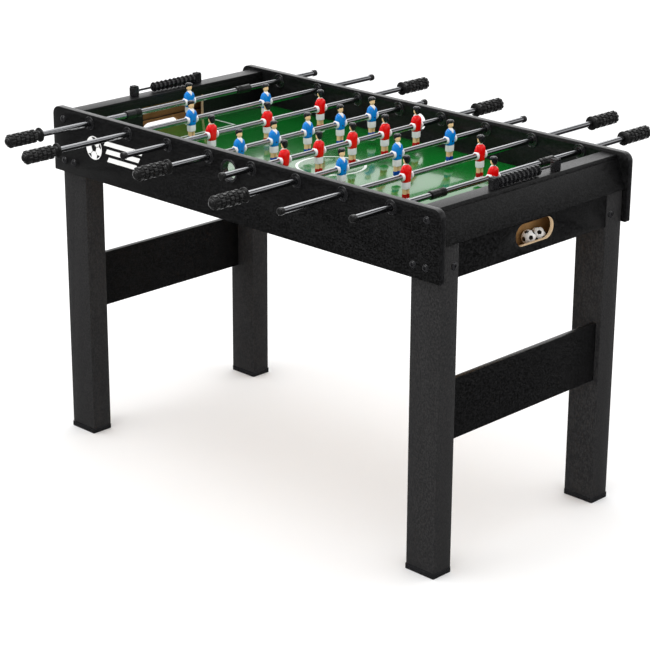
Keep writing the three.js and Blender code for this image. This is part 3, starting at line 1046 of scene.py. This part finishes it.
# %% [markdown]
# ## The goal scorers
# Over each goal ten black counting discs slide on a thin rail between two ribbed blocks. The disc has a
# scalloped rim so that a finger can push it, made by letting the radius swing as the angle turns.
# Each stack is one body that slides, so its discs become one mesh through the row tree.

# %% Rack blocks and rail
SCORER_X = 546 * MM
SCORER_HALF = 108 * MM
BLOCK_LENGTH = 20 * MM
BLOCK_WIDTH = 14 * MM
BLOCK_HEIGHT = 22 * MM
BLOCK_ROUND = 1.6 * MM
RIB_COUNT = 3
RIB_PITCH = 5.5 * MM
RIB_THICKNESS = 2.4 * MM
RIB_PROUD = 2.4 * MM
RIB_ROUND = 0.5 * MM
RAIL_RADIUS = 2.5 * MM
RAIL_HALF = SCORER_HALF - 2 * MM
RAIL_Z = middle("right_scorer_beads").z
RAIL_PROFILE = [(0, -RAIL_HALF), (RAIL_RADIUS, -RAIL_HALF), (RAIL_RADIUS, RAIL_HALF), (0, RAIL_HALF)]
BOSS = in_mm([(0, -1), (5.5, -1), (5.5, 1.2), (4.5, 2), (0, 2)])


def rounded_block(bm, y, length, proud, rounding, steps):
    """A box on the top strip with rounded edges. A rib stands proud of its block."""
    height = BLOCK_HEIGHT + proud
    place = Matrix.Translation((SCORER_X, y, END_TOP + height / 2))
    size = Matrix.Diagonal((BLOCK_WIDTH + proud, length, height, 1))
    cube = bmesh.ops.create_cube(bm, size=1.0, matrix=place @ size)
    edges = {edge for vertex in cube["verts"] for edge in vertex.link_edges}
    bmesh.ops.bevel(bm, geom=list(edges), offset=rounding, segments=steps, affect="EDGES")


def scorer_rack():
    bm = bmesh.new()
    turn(bm, RAIL_PROFILE, (SCORER_X, 0, RAIL_Z), 16)
    for end in (-1, 1):
        y = end * (SCORER_HALF - BLOCK_LENGTH / 2)
        rounded_block(bm, y, BLOCK_LENGTH, 0, BLOCK_ROUND, 3)
        for rib in range(RIB_COUNT):
            rib_y = y + (rib - (RIB_COUNT - 1) / 2) * RIB_PITCH
            rounded_block(bm, rib_y, RIB_THICKNESS, RIB_PROUD, RIB_ROUND, 2)
        inner_face = y - end * BLOCK_LENGTH / 2
        turn(bm, [(radius, -end * along) for radius, along in BOSS], (SCORER_X, inner_face, RAIL_Z), 20)
    return bm


for end_name, end in ENDS.items():
    rack = scorer_rack()
    if end < 0:
        rack.transform(HALF_TURN)
    settle(piece(f"{end_name}_scorer_rack", rack, [black_plastic]), "root", "black_plastic")
print("scorer racks", list(ENDS))

# %% Counting discs
DISC_COUNT = 10
DISC_RADIUS = 11.5 * MM
DISC_BORE = 3.1 * MM
HUB_RADIUS = 6.8 * MM
HUB_FACE = 6.4 * MM
HUB_CHAMFER = 0.5 * MM
RIM_CHAMFER = 0.7 * MM
RIM_SHARE = 0.34
SCALLOPS = 10
SCALLOP_DEPTH = 0.9 * MM
DISC_SEGMENTS = 40
DISC_PITCH = span("right_scorer_beads").y / DISC_COUNT


def counting_disc():
    """A scalloped disc with a round hub, turned about Y, starting at Y = 0."""
    rim_start = DISC_PITCH * (1 - RIM_SHARE) / 2
    half = [
        (DISC_BORE, 0, 0),
        (HUB_FACE, 0, 0),
        (HUB_RADIUS, HUB_CHAMFER, 0),
        (HUB_RADIUS, rim_start, 0),
        (DISC_RADIUS - RIM_CHAMFER, rim_start, 1),
        (DISC_RADIUS, rim_start + RIM_CHAMFER, 1),
    ]
    profile = half + [(radius, DISC_PITCH - along, scalloped) for radius, along, scalloped in half[::-1]]
    bm = bmesh.new()
    rings = []
    for radius, along, scalloped in profile:
        ring = []
        for k in range(DISC_SEGMENTS):
            angle = 2 * math.pi * k / DISC_SEGMENTS
            swing = scalloped * SCALLOP_DEPTH * (0.5 - 0.5 * math.cos(SCALLOPS * angle))
            reach = radius - swing
            ring.append(bm.verts.new((reach * math.cos(angle), along, reach * math.sin(angle))))
        rings.append(ring)
    skin_rings(bm, rings, True)
    return bm


for end_name in ENDS:
    node = f"{end_name}_scorer_beads"
    discs = piece(f"{end_name}_counting_discs", bmesh.new(), [])
    start = (middle(node).x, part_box(node)[0].y, RAIL_Z)
    pitch = (0, DISC_PITCH, 0)
    grow(discs, row_tree, counting_disc(), black_plastic, Count=DISC_COUNT, Start=start, Step=pitch)
    settle(discs, f"{end_name}_scorer", "black_plastic", node)

# %% [markdown]
# ## Legs, feet and stretchers
# The legs are wrapped posts that taper on their inner face and are notched at the top to take the
# end box. Their section in XZ is drawn out along Y. The foot is a separate plastic cap, a little
# wider than the post. A board joins the two legs of each end.

# %% Legs and feet
leg_low, leg_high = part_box("front_right_leg")
FOOT_HEIGHT = 12 * MM
FOOT_PROUD = 1.5 * MM
FOOT_CORNER = 3.2 * MM
FOOT_BEVEL = 1.2 * MM
POST_BOTTOM = FOOT_HEIGHT - 1 * MM
LEG_OUTER_X = leg_high.x - FOOT_PROUD
LEG_FOOT_X = leg_low.x + FOOT_PROUD
LEG_TOP_X = 501 * MM
LEG_NOTCH_X = 536 * MM
LEG_SHELF = 693 * MM
LEG_MIDDLE_Y = (leg_low.y + leg_high.y) / 2 + FOOT_PROUD / 2
LEG_DEPTH = 52 * MM
POST_ROUND = 1.4 * MM


def post():
    corners = [
        (LEG_FOOT_X, POST_BOTTOM),
        (LEG_OUTER_X, POST_BOTTOM),
        (LEG_OUTER_X, leg_high.z),
        (LEG_NOTCH_X, leg_high.z),
        (LEG_NOTCH_X, LEG_SHELF),
        (LEG_TOP_X, LEG_SHELF),
    ]
    outline = rounded([(x, z, POST_ROUND) for x, z in corners])
    return stood(plate([outline], LEG_DEPTH, POST_ROUND), LEG_MIDDLE_Y)


def foot_cap():
    low = (LEG_FOOT_X - FOOT_PROUD, leg_low.y)
    high = (LEG_OUTER_X + FOOT_PROUD, leg_low.y + LEG_DEPTH + 2 * FOOT_PROUD)
    return lifted(plate([rectangle(low, high, FOOT_CORNER)], FOOT_HEIGHT, FOOT_BEVEL), FOOT_HEIGHT / 2)


for end_name, end in ENDS.items():
    for side_name, side in SIDES.items():
        mirror = Matrix.Diagonal((end, -side, 1, 1))
        leg = post()
        leg.transform(mirror)
        cap = foot_cap()
        cap.transform(mirror)
        made = piece(f"{side_name}_{end_name}_post", leg, [leg_foil])
        settle(made, "root", "leg_laminate", f"{side_name}_{end_name}_leg")
        settle(piece(f"{side_name}_{end_name}_foot", cap, [black_plastic]), "root", "black_plastic")
print("post", round(LEG_OUTER_X - LEG_FOOT_X, 4), "wide at the foot,", LEG_DEPTH, "deep")

# %% Stretchers
STRETCHER_CORNER = 1 * MM
STRETCHER_BEVEL = 0.8 * MM
for end_name in ENDS:
    node = f"{end_name}_stretcher"
    low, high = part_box(node)
    outline = rectangle((low.y, low.z), (high.y, high.z), STRETCHER_CORNER)
    board = stood_across(plate([outline], high.x - low.x, STRETCHER_BEVEL), (low.x + high.x) / 2)
    settle(piece(f"{end_name}_cross_board", board, [foil_along_y]), "root", "black_laminate", node)
    print(node, "at x", round(middle(node).x, 3))

# %% [markdown]
# ## Bolts
# Black domed bolts hold the panels to the posts, and two hold each lower end board. One bolt head
# is modelled with its hexagon recess, and a cloud of points says where the heads stand and which
# way they face. The points carry that direction as an attribute, which the tree reads.

# %% Bolt heads
BOLT_PROFILE = [(8.6, -0.5), (8.6, 0.6), (7.8, 2.0), (6.0, 3.1), (3.8, 3.6)]
BOLT_SEGMENTS = 24
RECESS_HALF = 2.5 * MM
RECESS_HEIGHTS = (3.5, 1.6)
PANEL_BOLTS = [(554, 764), (553, 667), (520, 667)]
END_BOLT_Y = 250 * MM
END_BOLT_Z = 665 * MM


def bolt_head():
    """A domed head about Z with a six-sided recess, its seat just under Z = 0."""
    outlines = [(circle((0, 0), radius * MM, BOLT_SEGMENTS), height) for radius, height in BOLT_PROFILE]
    recess = []
    for k in range(BOLT_SEGMENTS):
        angle = 2 * math.pi * k / BOLT_SEGMENTS
        sector = (angle + math.pi / 6) % (math.pi / 3) - math.pi / 6
        reach = RECESS_HALF / math.cos(sector)
        recess.append((reach * math.cos(angle), reach * math.sin(angle)))
    return stacked(outlines + [(recess, height) for height in RECESS_HEIGHTS])


bolt_places = []
for side in SIDES.values():
    for end in ENDS.values():
        for x, z in PANEL_BOLTS:
            bolt_places.append(((end * x * MM, side * PANEL_OUTER, z * MM), (0, side, 0)))
for end in ENDS.values():
    for side in SIDES.values():
        bolt_places.append(((end * LEG_OUTER_X, side * END_BOLT_Y, END_BOLT_Z), (end, 0, 0)))
cloud = bmesh.new()
facing_layer = cloud.verts.layers.float_vector.new("facing")
for place, way in bolt_places:
    cloud.verts.new(place)[facing_layer] = Vector(way)
bolts = grow(piece("bolt_heads", cloud, []), facing_tree, bolt_head(), black_screw)
settle(bolts, "root", "black_plastic")

# %% [markdown]
# ## Rods
# Each rod is a plated steel tube. It turns and slides through its bearings, and it is the body
# that its grip and its men ride on. Both its ends sit inside the grip and the end cap. The two
# keepers' rods also carry rubber stop collars, because one man alone could be pushed too far.

# %% Tubes and stop collars
STOP_Y = 172 * MM
STOP_HALF = 22 * MM
STOP_RADIUS = 9.2 * MM
STOP_CHAMFER = 1 * MM
STOP_GAP = 0.05 * MM
FIRST_GROOVE = -16 * MM
GROOVE_STEP = 0.8 * MM
GROOVE_RADIUS = STOP_RADIUS - 1.2 * MM
KEEPER_RODS = (rod_numbers[0], rod_numbers[-1])


def rod_body(number):
    return f"rod_{number}_spindle"


def rod_men(number):
    return [node for node in sorted(frame["nodes"]) if node.startswith(f"rod_{number}_") and "_man_" in node]


def tube(number):
    low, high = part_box(f"rod_{number}_tube")
    profile = [(ROD_RADIUS, low.y), (ROD_RADIUS, high.y), (ROD_BORE, high.y), (ROD_BORE, low.y)]
    bm = bmesh.new()
    turn(bm, profile, (ROD_X[number - 1], 0, ROD_Z), 40, True)
    return bm


def stop_collars(number):
    """Two ribbed collars about the rod, either side of its man."""
    bm = bmesh.new()
    centre = middle(rod_men(number)[0]).y
    bore = ROD_RADIUS + STOP_GAP
    for side in (-1, 1):
        profile = [(bore, -STOP_HALF), (STOP_RADIUS - STOP_CHAMFER, -STOP_HALF)]
        profile.append((STOP_RADIUS, STOP_CHAMFER - STOP_HALF))
        for groove in range(3):
            start = FIRST_GROOVE + 5 * groove * GROOVE_STEP
            for step, radius in enumerate((STOP_RADIUS, GROOVE_RADIUS, GROOVE_RADIUS, STOP_RADIUS)):
                profile.append((radius, start + step * GROOVE_STEP))
        profile.append((STOP_RADIUS, STOP_HALF - STOP_CHAMFER))
        profile += [(STOP_RADIUS - STOP_CHAMFER, STOP_HALF), (bore, STOP_HALF)]
        turned = [(radius, side * along) for radius, along in profile]
        turn(bm, turned, (ROD_X[number - 1], centre + side * STOP_Y, ROD_Z), 32, True)
    return bm


for number in rod_numbers:
    made = piece(f"rod_{number}_steel_tube", tube(number), [plated_steel])
    settle(made, rod_body(number), "chrome_tube", f"rod_{number}_tube")
    if number in KEEPER_RODS:
        collars = piece(f"rod_{number}_stop_collars", stop_collars(number), [black_rubber])
        settle(collars, rod_body(number), "black_rubber")
print("tubes", len(rod_numbers), "collars on", KEEPER_RODS)

# %% [markdown]
# ## Grips
# A grip is a moulded rubber core with a wide guard at the rod, a slim neck, rings of raised blocks
# and a round button at the end. The core is turned. The blocks follow a rule, rings along the axis
# and blocks round each ring, with every second ring turned by half a block, so a tree places them.

# %% The grip tree
grip_inputs = {"Rings": "Int", "Blocks": "Int", "Radius": "Float", "Start": "Float", "Pitch": "Float"}
grip_nodes, grip_given = geometry_tree("blocks_round_grip", grip_inputs)
start_point = grip_nodes.node("ShaderNodeCombineXYZ", None, {"Y": grip_given["Start"]})
step_vector = grip_nodes.node("ShaderNodeCombineXYZ", None, {"Y": grip_given["Pitch"]})
line_values = {"Count": grip_given["Rings"], "Start Location": start_point, "Offset": step_vector}
ring_line = grip_nodes.node("GeometryNodeMeshLine", {"mode": "OFFSET"}, line_values)
circle_values = {"Vertices": grip_given["Blocks"], "Radius": grip_given["Radius"]}
ring_circle = grip_nodes.node("GeometryNodeMeshCircle", {"fill_type": "NONE"}, circle_values)
stagger = grip_nodes.node("GeometryNodeInputIndex") * (math.pi / grip_given["Blocks"])
ring_turn = grip_nodes.node("ShaderNodeCombineXYZ", None, {"X": math.pi / 2, "Y": stagger})
ring_values = {"Points": ring_line, "Instance": ring_circle, "Rotation": ring_turn}
ring_copies = grip_nodes.node("GeometryNodeInstanceOnPoints", None, ring_values)
block_points = grip_nodes.node("GeometryNodeRealizeInstances", None, {"Geometry": ring_copies})
where = grip_nodes.node("ShaderNodeSeparateXYZ", None, {0: grip_nodes.node("GeometryNodeInputPosition")})
outwards = grip_nodes.node("ShaderNodeCombineXYZ", None, {"X": where["X"], "Z": where["Z"]})
block_turn = grip_nodes.node(
    "FunctionNodeAlignRotationToVector", {"axis": "Z", "pivot_axis": "Y"}, {"Vector": outwards}
)
block_copies = copies_on(grip_nodes, grip_given, block_points, block_turn)
grip_pieces = {"Geometry": [grip_given["Geometry"], block_copies]}
grip_joined = grip_nodes.node("GeometryNodeJoinGeometry", None, grip_pieces)
grip_tree = close_tree(grip_nodes, grip_given, grip_joined)
print("grip tree", grip_tree.name)

# %% Grip core and blocks
GRIP_LENGTH = span("rod_1_handle").y
GRIP_CORE = 12.1
BLOCK_RINGS = 6
BLOCKS_ROUND = 9
BLOCK_PITCH = 12 * MM
FIRST_BLOCK = 20.6 * MM
BLOCK_CORNER = 1.2 * MM
BLOCK_SECTIONS = [(3.7, 4.8, -1.2), (3.6, 4.7, 1.6), (2.6, 3.7, 2.8)]
SOCKET_RADIUS = ROD_RADIUS + 0.3 * MM
SOCKET_DEPTH = 60 * MM
GRIP_PROFILE = [
    (14.8, 0), (16, 0.8), (16, 2.4), (15, 3.4), (10.6, 4.2), (9.3, 6), (9.3, 9), (11.2, 12),
    (GRIP_CORE, 14.5), (GRIP_CORE, 85.5), (11.2, 86.8), (9.0, 87.4), (8.8, 88.2), (9.0, 89),
    (8.2, 91), (6, 92.4),
]


def grip_core():
    """The core about Y, with its guard at Y = 0 and its button at the far end."""
    socket = [(0, SOCKET_DEPTH), (SOCKET_RADIUS, SOCKET_DEPTH), (SOCKET_RADIUS, 0)]
    button = [(3 * MM, GRIP_LENGTH), (0, GRIP_LENGTH)]
    bm = bmesh.new()
    turn(bm, socket + in_mm(GRIP_PROFILE) + button, segments=36)
    return bm


def grip_block():
    """One raised block on the core: its base sunk in the core, its top rounded."""
    outlines = []
    for half_round, half_along, height in BLOCK_SECTIONS:
        low, high = in_mm([(-half_round, -half_along), (half_round, half_along)])
        outlines.append((rectangle(low, high, BLOCK_CORNER), height))
    return stacked(outlines)


grip = grow(
    piece("grip_part", grip_core(), [black_rubber]),
    grip_tree,
    grip_block(),
    black_rubber,
    Rings=BLOCK_RINGS,
    Blocks=BLOCKS_ROUND,
    Radius=GRIP_CORE * MM,
    Start=FIRST_BLOCK,
    Pitch=BLOCK_PITCH,
)

# %% A grip and an end cap for each rod
CAP_LENGTH = span("rod_1_end_cap").y
CAP_RADIUS = 7.8 * MM
CAP_BORE_END = CAP_LENGTH - 8 * MM
CAP_LIP = 0.8 * MM
CAP_TIP = in_mm([(0, 0), (5.2, 0), (6.8, 0.4), (7.6, 1.2), (7.8, 2.4)])


def end_cap():
    """A rounded rubber cap about Y, closed at Y = 0 and open towards +Y."""
    rim = [(CAP_RADIUS, CAP_LENGTH - CAP_LIP), (CAP_RADIUS - CAP_LIP / 2, CAP_LENGTH)]
    bore = [(SOCKET_RADIUS, CAP_LENGTH), (SOCKET_RADIUS, CAP_BORE_END), (0, CAP_BORE_END)]
    bm = bmesh.new()
    turn(bm, CAP_TIP + rim + bore, segments=32)
    return bm


for number in rod_numbers:
    low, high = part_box(f"rod_{number}_handle")
    cap_low, cap_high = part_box(f"rod_{number}_end_cap")
    away = low.y > 0
    turn_round = Matrix.Identity(4) if away else HALF_TURN
    near = Matrix.Translation((ROD_X[number - 1], low.y if away else high.y, ROD_Z))
    tip = Matrix.Translation((ROD_X[number - 1], cap_low.y if away else cap_high.y, ROD_Z))
    made = copy_at(grip, f"rod_{number}_grip", near @ turn_round)
    settle(made, rod_body(number), "black_rubber", f"rod_{number}_handle")
    cap = end_cap()
    cap.transform(tip @ turn_round)
    made = piece(f"rod_{number}_rubber_cap", cap, [black_rubber])
    settle(made, f"rod_{number}_carriage", "black_rubber", f"rod_{number}_end_cap")
bpy.data.objects.remove(grip)
print("grips and caps", len(rod_numbers))

# %% [markdown]
# ## The men
# A man is moulded in one piece round the rod and then painted. He could be sculpted, but at this
# size he is a stack of simple forms: feet, socks, legs, shorts, shirt, sleeves, arms that end in a
# round boss on the rod, neck, head and hair. Each form is a loft, given as rows of height, middle,
# half depth, half width and squareness, in millimetres from the rod's axis. The face is plain.

# %% One man
SHIRT, SOCK, WHITE, SKIN, HAIR, SCREW = range(6)
BODY_FORMS = [
    (SHIRT, [
        (-12.6, 0, 7.2, 9.6, 3.0), (-11.8, 0, 7.8, 10.2, 3.0), (-6, 0, 8.0, 10.4, 3.0),
        (0, 0, 8.4, 11.0, 2.9), (8, 0, 8.8, 12.0, 2.7), (14, 0, 8.6, 12.2, 2.5),
        (18.5, 0, 7.6, 11.0, 2.3), (21.6, 0, 5.8, 8.2, 2.2), (23.6, 0, 4.0, 5.2, 2.0),
    ]),
    (WHITE, [
        (-27, 0, 6.8, 8.6, 3.4), (-26.3, 0, 7.4, 9.3, 3.4), (-20, 0, 7.6, 9.8, 3.2),
        (-14, 0, 7.6, 9.9, 3.0), (-11.6, 0, 7.3, 9.6, 3.0),
    ]),
    (WHITE, [
        (-56, 0.4, 7.8, 8.8, 4.0), (-55.3, 0.4, 8.2, 9.2, 4.0), (-51, 0.3, 8.1, 9.2, 4.0),
        (-48.6, 0, 7.4, 8.8, 3.6), (-47.2, 0, 6.2, 8.2, 3.2),
    ]),
    (WHITE, [
        (14.6, 8.2, 0.8, 0.4, 2.0), (17, 8.0, 1.1, 1.8, 2.0), (20.2, 6.4, 1.9, 3.8, 2.0),
        (22.8, 2.6, 4.2, 5.2, 2.0), (24.8, 0.5, 4.7, 5.0, 2.0), (25.6, 0.3, 3.9, 4.1, 2.0),
    ]),
    (SKIN, [
        (23, 0, 3.4, 3.6, 2.0), (26.6, 0.2, 3.5, 3.7, 2.0), (27.6, 0.8, 4.9, 4.6, 2.1),
        (30, 1.0, 5.9, 5.5, 2.2), (34, 0.7, 6.2, 5.9, 2.2), (38.5, 0.2, 6.0, 5.8, 2.1),
        (41.5, 0, 4.4, 4.4, 2.0), (42.6, 0, 2.2, 2.2, 2.0),
    ]),
    (SKIN, [(30.2, 6.9, 0.5, 0.7, 2.0), (31.4, 7.3, 1.1, 1.0, 2.0), (34.4, 6.8, 0.6, 0.6, 2.0)]),
    (HAIR, [
        (26.8, -4.2, 1.8, 3.8, 2.0), (28.2, -3.9, 2.9, 5.2, 2.1), (32, -2.9, 4.4, 6.9, 2.2),
        (36, -1.9, 5.6, 7.5, 2.2), (37.4, -0.3, 7.4, 7.8, 2.2), (39.4, 0, 8.0, 7.9, 2.2),
        (41.6, 0, 7.3, 7.3, 2.1), (43.3, -0.1, 5.3, 5.3, 2.0), (44, -0.1, 2.4, 2.4, 2.0),
    ]),
]
LIMB_FORMS = [
    (SHIRT, 11.5, [
        (-1.6, 0.4, 4.0, 1.8, 2.2), (1, 0.6, 5.0, 2.8, 2.2), (7, 0.7, 5.2, 3.2, 2.2),
        (12, 0.4, 4.9, 3.0, 2.1), (16.5, 0.1, 3.6, 2.0, 2.0), (19, 0, 1.8, 1.0, 2.0),
    ]),
    (SKIN, 4.6, [
        (-40, 0, 4.4, 3.8, 2.4), (-37, -0.2, 4.6, 4.1, 2.3), (-32, 0, 4.4, 4.0, 2.3),
        (-26, 0, 4.7, 4.3, 2.4),
    ]),
    (SOCK, 4.6, [
        (-47.8, 0.2, 4.9, 4.1, 2.4), (-43, 0, 5.0, 4.3, 2.4), (-38.6, 0, 5.1, 4.4, 2.4),
        (-38, 0, 4.6, 4.0, 2.4),
    ]),
    (SKIN, 6.0, [(30.2, -0.6, 0.8, 0.4, 2.0), (32.2, -0.5, 1.4, 0.9, 2.0), (34.6, -0.6, 0.8, 0.4, 2.0)]),
]
BOSS_RADIUS = 8.8
BOSS_HEIGHT = 9.2
BOSS_PROFILE = [(0, 9.4), (0.8, 9.8), (1, 11.2), (1, 13.6), (0.9, 15.4), (0.72, 16.4), (0, 16.5)]
SCREW_PROFILE = [(0, 0), (1.7, 0), (1.7, 0.5), (1.2, 0.9), (0, 0.9)]
SCREW_PLACE = (8.3, 0, -3.0)
SCREW_TURN = Matrix.Translation(Vector(SCREW_PLACE) * MM) @ Matrix.Rotation(-math.pi / 2, 4, "Z")


def man():
    """A man about the rod's axis, looking along +X."""
    bm = bmesh.new()
    for material, sections in BODY_FORMS:
        loft(bm, sections, material)
    for side in (-1, 1):
        for material, y, sections in LIMB_FORMS:
            loft(bm, sections, material, 14, side * y)
        boss = in_mm([(share * BOSS_RADIUS, side * along) for share, along in BOSS_PROFILE])
        for vertex in turn(bm, boss, segments=20, material=WHITE):
            vertex.co.z *= BOSS_HEIGHT / BOSS_RADIUS
    for vertex in turn(bm, in_mm(SCREW_PROFILE), segments=12, material=SCREW):
        vertex.co = SCREW_TURN @ vertex.co
    return bm


# %% Both teams
FACING = {"blue": Matrix.Identity(4), "red": HALF_TURN}
for team, (shirt, sock) in TEAM_PAINTS.items():
    model = piece(f"{team}_man_model", man(), [shirt, sock, white_kit, skin, hair, black_screw])
    count = 0
    for number in rod_numbers:
        for node in rod_men(number):
            if team not in node:
                continue
            place = Matrix.Translation((ROD_X[number - 1], middle(node).y, ROD_Z))
            made = copy_at(model, node.replace("_man_", "_player_"), place @ FACING[team])
            settle(made, rod_body(number), f"{team}_team", node)
            count += 1
    print(team, "team:", count, "men of", len(model.data.polygons), "faces")
    bpy.data.objects.remove(model)

# %% [markdown]
# ## The balls
# A football's pattern is a solid with 12 pentagons and 20 hexagons blown up into a ball. Cutting
# the corners off an icosahedron gives exactly that, and the faces remember which shape they came
# from while they are divided finely and pushed out to the radius. A shallow groove marks the seams.

# %% Match balls
BALL_RADIUS = span("match_balls").z / 2
ball_low, ball_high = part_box("match_balls")
SEAM_DEPTH = 0.25 * MM
BALL_CUTS = 4
CORNER_CUT_PERCENT = 100 / 3
BALL_TURNS = [Matrix.Rotation(0.5, 4, "X") @ Matrix.Rotation(0.9, 4, "Z"), Matrix.Rotation(1.9, 4, "Y")]
NEAR = 1e-6


def football():
    bm = bmesh.new()
    bmesh.ops.create_icosphere(bm, subdivisions=1, radius=1.0)
    cut = {"offset": CORNER_CUT_PERCENT, "offset_type": "PERCENT", "affect": "VERTICES"}
    bmesh.ops.bevel(bm, geom=list(bm.verts), segments=1, **cut)
    for face in bm.faces:
        face.material_index = 1 if len(face.verts) == 5 else 0
    seams = [(edge.verts[0].co.copy(), edge.verts[1].co.copy()) for edge in bm.edges]
    bmesh.ops.poke(bm, faces=list(bm.faces))
    bmesh.ops.subdivide_edges(bm, edges=list(bm.edges), cuts=BALL_CUTS, use_grid_fill=True)
    for vertex in bm.verts:
        on_seam = any(
            (vertex.co - a).cross(b - a).length < 10 * NEAR
            and (vertex.co - a).dot(b - a) >= -NEAR
            and (vertex.co - b).dot(a - b) >= -NEAR
            for a, b in seams
        )
        reach = BALL_RADIUS - (SEAM_DEPTH if on_seam else 0)
        vertex.co = vertex.co.normalized() * reach
    return bm


balls = []
ball_middle = middle("match_balls")
for y, turned in zip((ball_low.y + BALL_RADIUS, ball_high.y - BALL_RADIUS), BALL_TURNS):
    ball = football()
    ball.transform(Matrix.Translation((ball_middle.x, y, ball_middle.z)) @ turned)
    balls.append(as_mesh(ball))
match = piece("footballs", joined(balls), [ball_white, ball_black])
match.data.shade_smooth()
settle(match, "match_balls", "ball_plastic", "match_balls")
print("footballs", len(match.data.polygons), "faces")

# %% [markdown]
# ## The studio
# The game stands on a wide white floor in soft light. In a real studio the walls light the game
# evenly, but black cards are hung where its glossy faces would mirror them. The sky does the same:
# it is white for soft light, and for reflections it is dark apart from the ceiling, a pale wall
# behind the game, which draws the bright line on each rod, and a greyer card at the right.

# %% Floor, sky and lights
FLOOR_SIZE = 30.0
DIAGONAL = math.sqrt(0.5)
SOFT_LIGHT = 1.24
REFLECTED_LIGHT = 1.5
REFLECTED_DARK = 0.03
SIDE_CARD = 0.42
BACKDROP = 1.05
floor_mesh = bmesh.new()
bmesh.ops.create_grid(floor_mesh, x_segments=1, y_segments=1, size=FLOOR_SIZE / 2)


def floor_recipe(nodes):
    return {
        "Base Color": nodes.mix(nodes.noise(3), screen(249, 249, 249), screen(252, 252, 252)),
        "Roughness": 0.9,
        "Specular IOR Level": 0.1,
    }


floor = piece("studio_floor", floor_mesh, [finish("white_floor", floor_recipe)])
floor.visible_glossy = False

world = bpy.data.worlds.new("studio_sky")
bpy.context.scene.world = world
world.use_nodes = True
sky = Nodes(world.node_tree)
direction = sky.node("ShaderNodeTexCoord", output="Generated")
way = sky.node("ShaderNodeSeparateXYZ", None, {0: direction})


def beyond(toward, start, sharpness):
    """1 where the sky's direction is past this start, with a soft edge."""
    return ((toward - start) * sharpness).clamped()


ceiling = beyond(way["Z"], 0.8, 8.0)
pale_wall = beyond((way["Y"] - way["X"]) * DIAGONAL, 0.5, 4.0)
above_floor = beyond(way["Z"], 0.0, 6.0)
side_card = beyond((way["X"] + way["Y"]) * DIAGONAL, 0.7, 5.0) * above_floor * SIDE_CARD
mirrored = ceiling.largest(pale_wall).largest(side_card) * REFLECTED_LIGHT + REFLECTED_DARK
rays = sky.node("ShaderNodeLightPath", output="Is Glossy Ray")
lit = (1.0 - rays) * SOFT_LIGHT + rays * mirrored
shown = lit * (1.0 - rays["Is Camera Ray"]) + rays["Is Camera Ray"] * BACKDROP
background = sky.node("ShaderNodeBackground", None, {"Color": (1, 1, 1, 1), "Strength": shown})
sky.node("ShaderNodeOutputWorld", None, {"Surface": background})


def softbox(name, place, aim, size, power):
    lamp = bpy.data.lights.new(name, "AREA")
    lamp.shape = "RECTANGLE"
    lamp.size = size[0]
    lamp.size_y = size[1]
    lamp.energy = power
    made = add_object(name, lamp)
    made.location = place
    made.rotation_euler = (Vector(aim) - Vector(place)).to_track_quat("-Z", "Y").to_euler()


TABLE_MIDDLE = (0, 0, 0.6)
softbox("overhead_light", (-0.3, 0.2, 3.2), TABLE_MIDDLE, (3.2, 2.4), 22)
softbox("front_light", (-1.2, -3.4, 1.9), TABLE_MIDDLE, (2.2, 1.6), 18)

# %% The camera
AZIMUTH = math.radians(44.413)
ELEVATION = math.radians(19.89)
ROLL = math.radians(0.283)
CAMERA_DISTANCE = 4.38174
LENS = 115.17
SENSOR_WIDTH = 36
AIM = Vector((0.206017, -0.22716, 0.441551))
back = Vector((
    math.sin(AZIMUTH) * math.cos(ELEVATION),
    -math.cos(AZIMUTH) * math.cos(ELEVATION),
    math.sin(ELEVATION),
))
lens = bpy.data.cameras.new("camera")
lens.lens = LENS
lens.sensor_width = SENSOR_WIDTH
camera = add_object("camera", lens)
camera.location = AIM + back * CAMERA_DISTANCE
upright = (-back).to_track_quat("-Z", "Y").to_matrix()
camera.rotation_euler = (upright @ Matrix.Rotation(ROLL, 3, "Z")).to_euler()
bpy.context.scene.camera = camera
bpy.context.scene.view_settings.view_transform = "Standard"
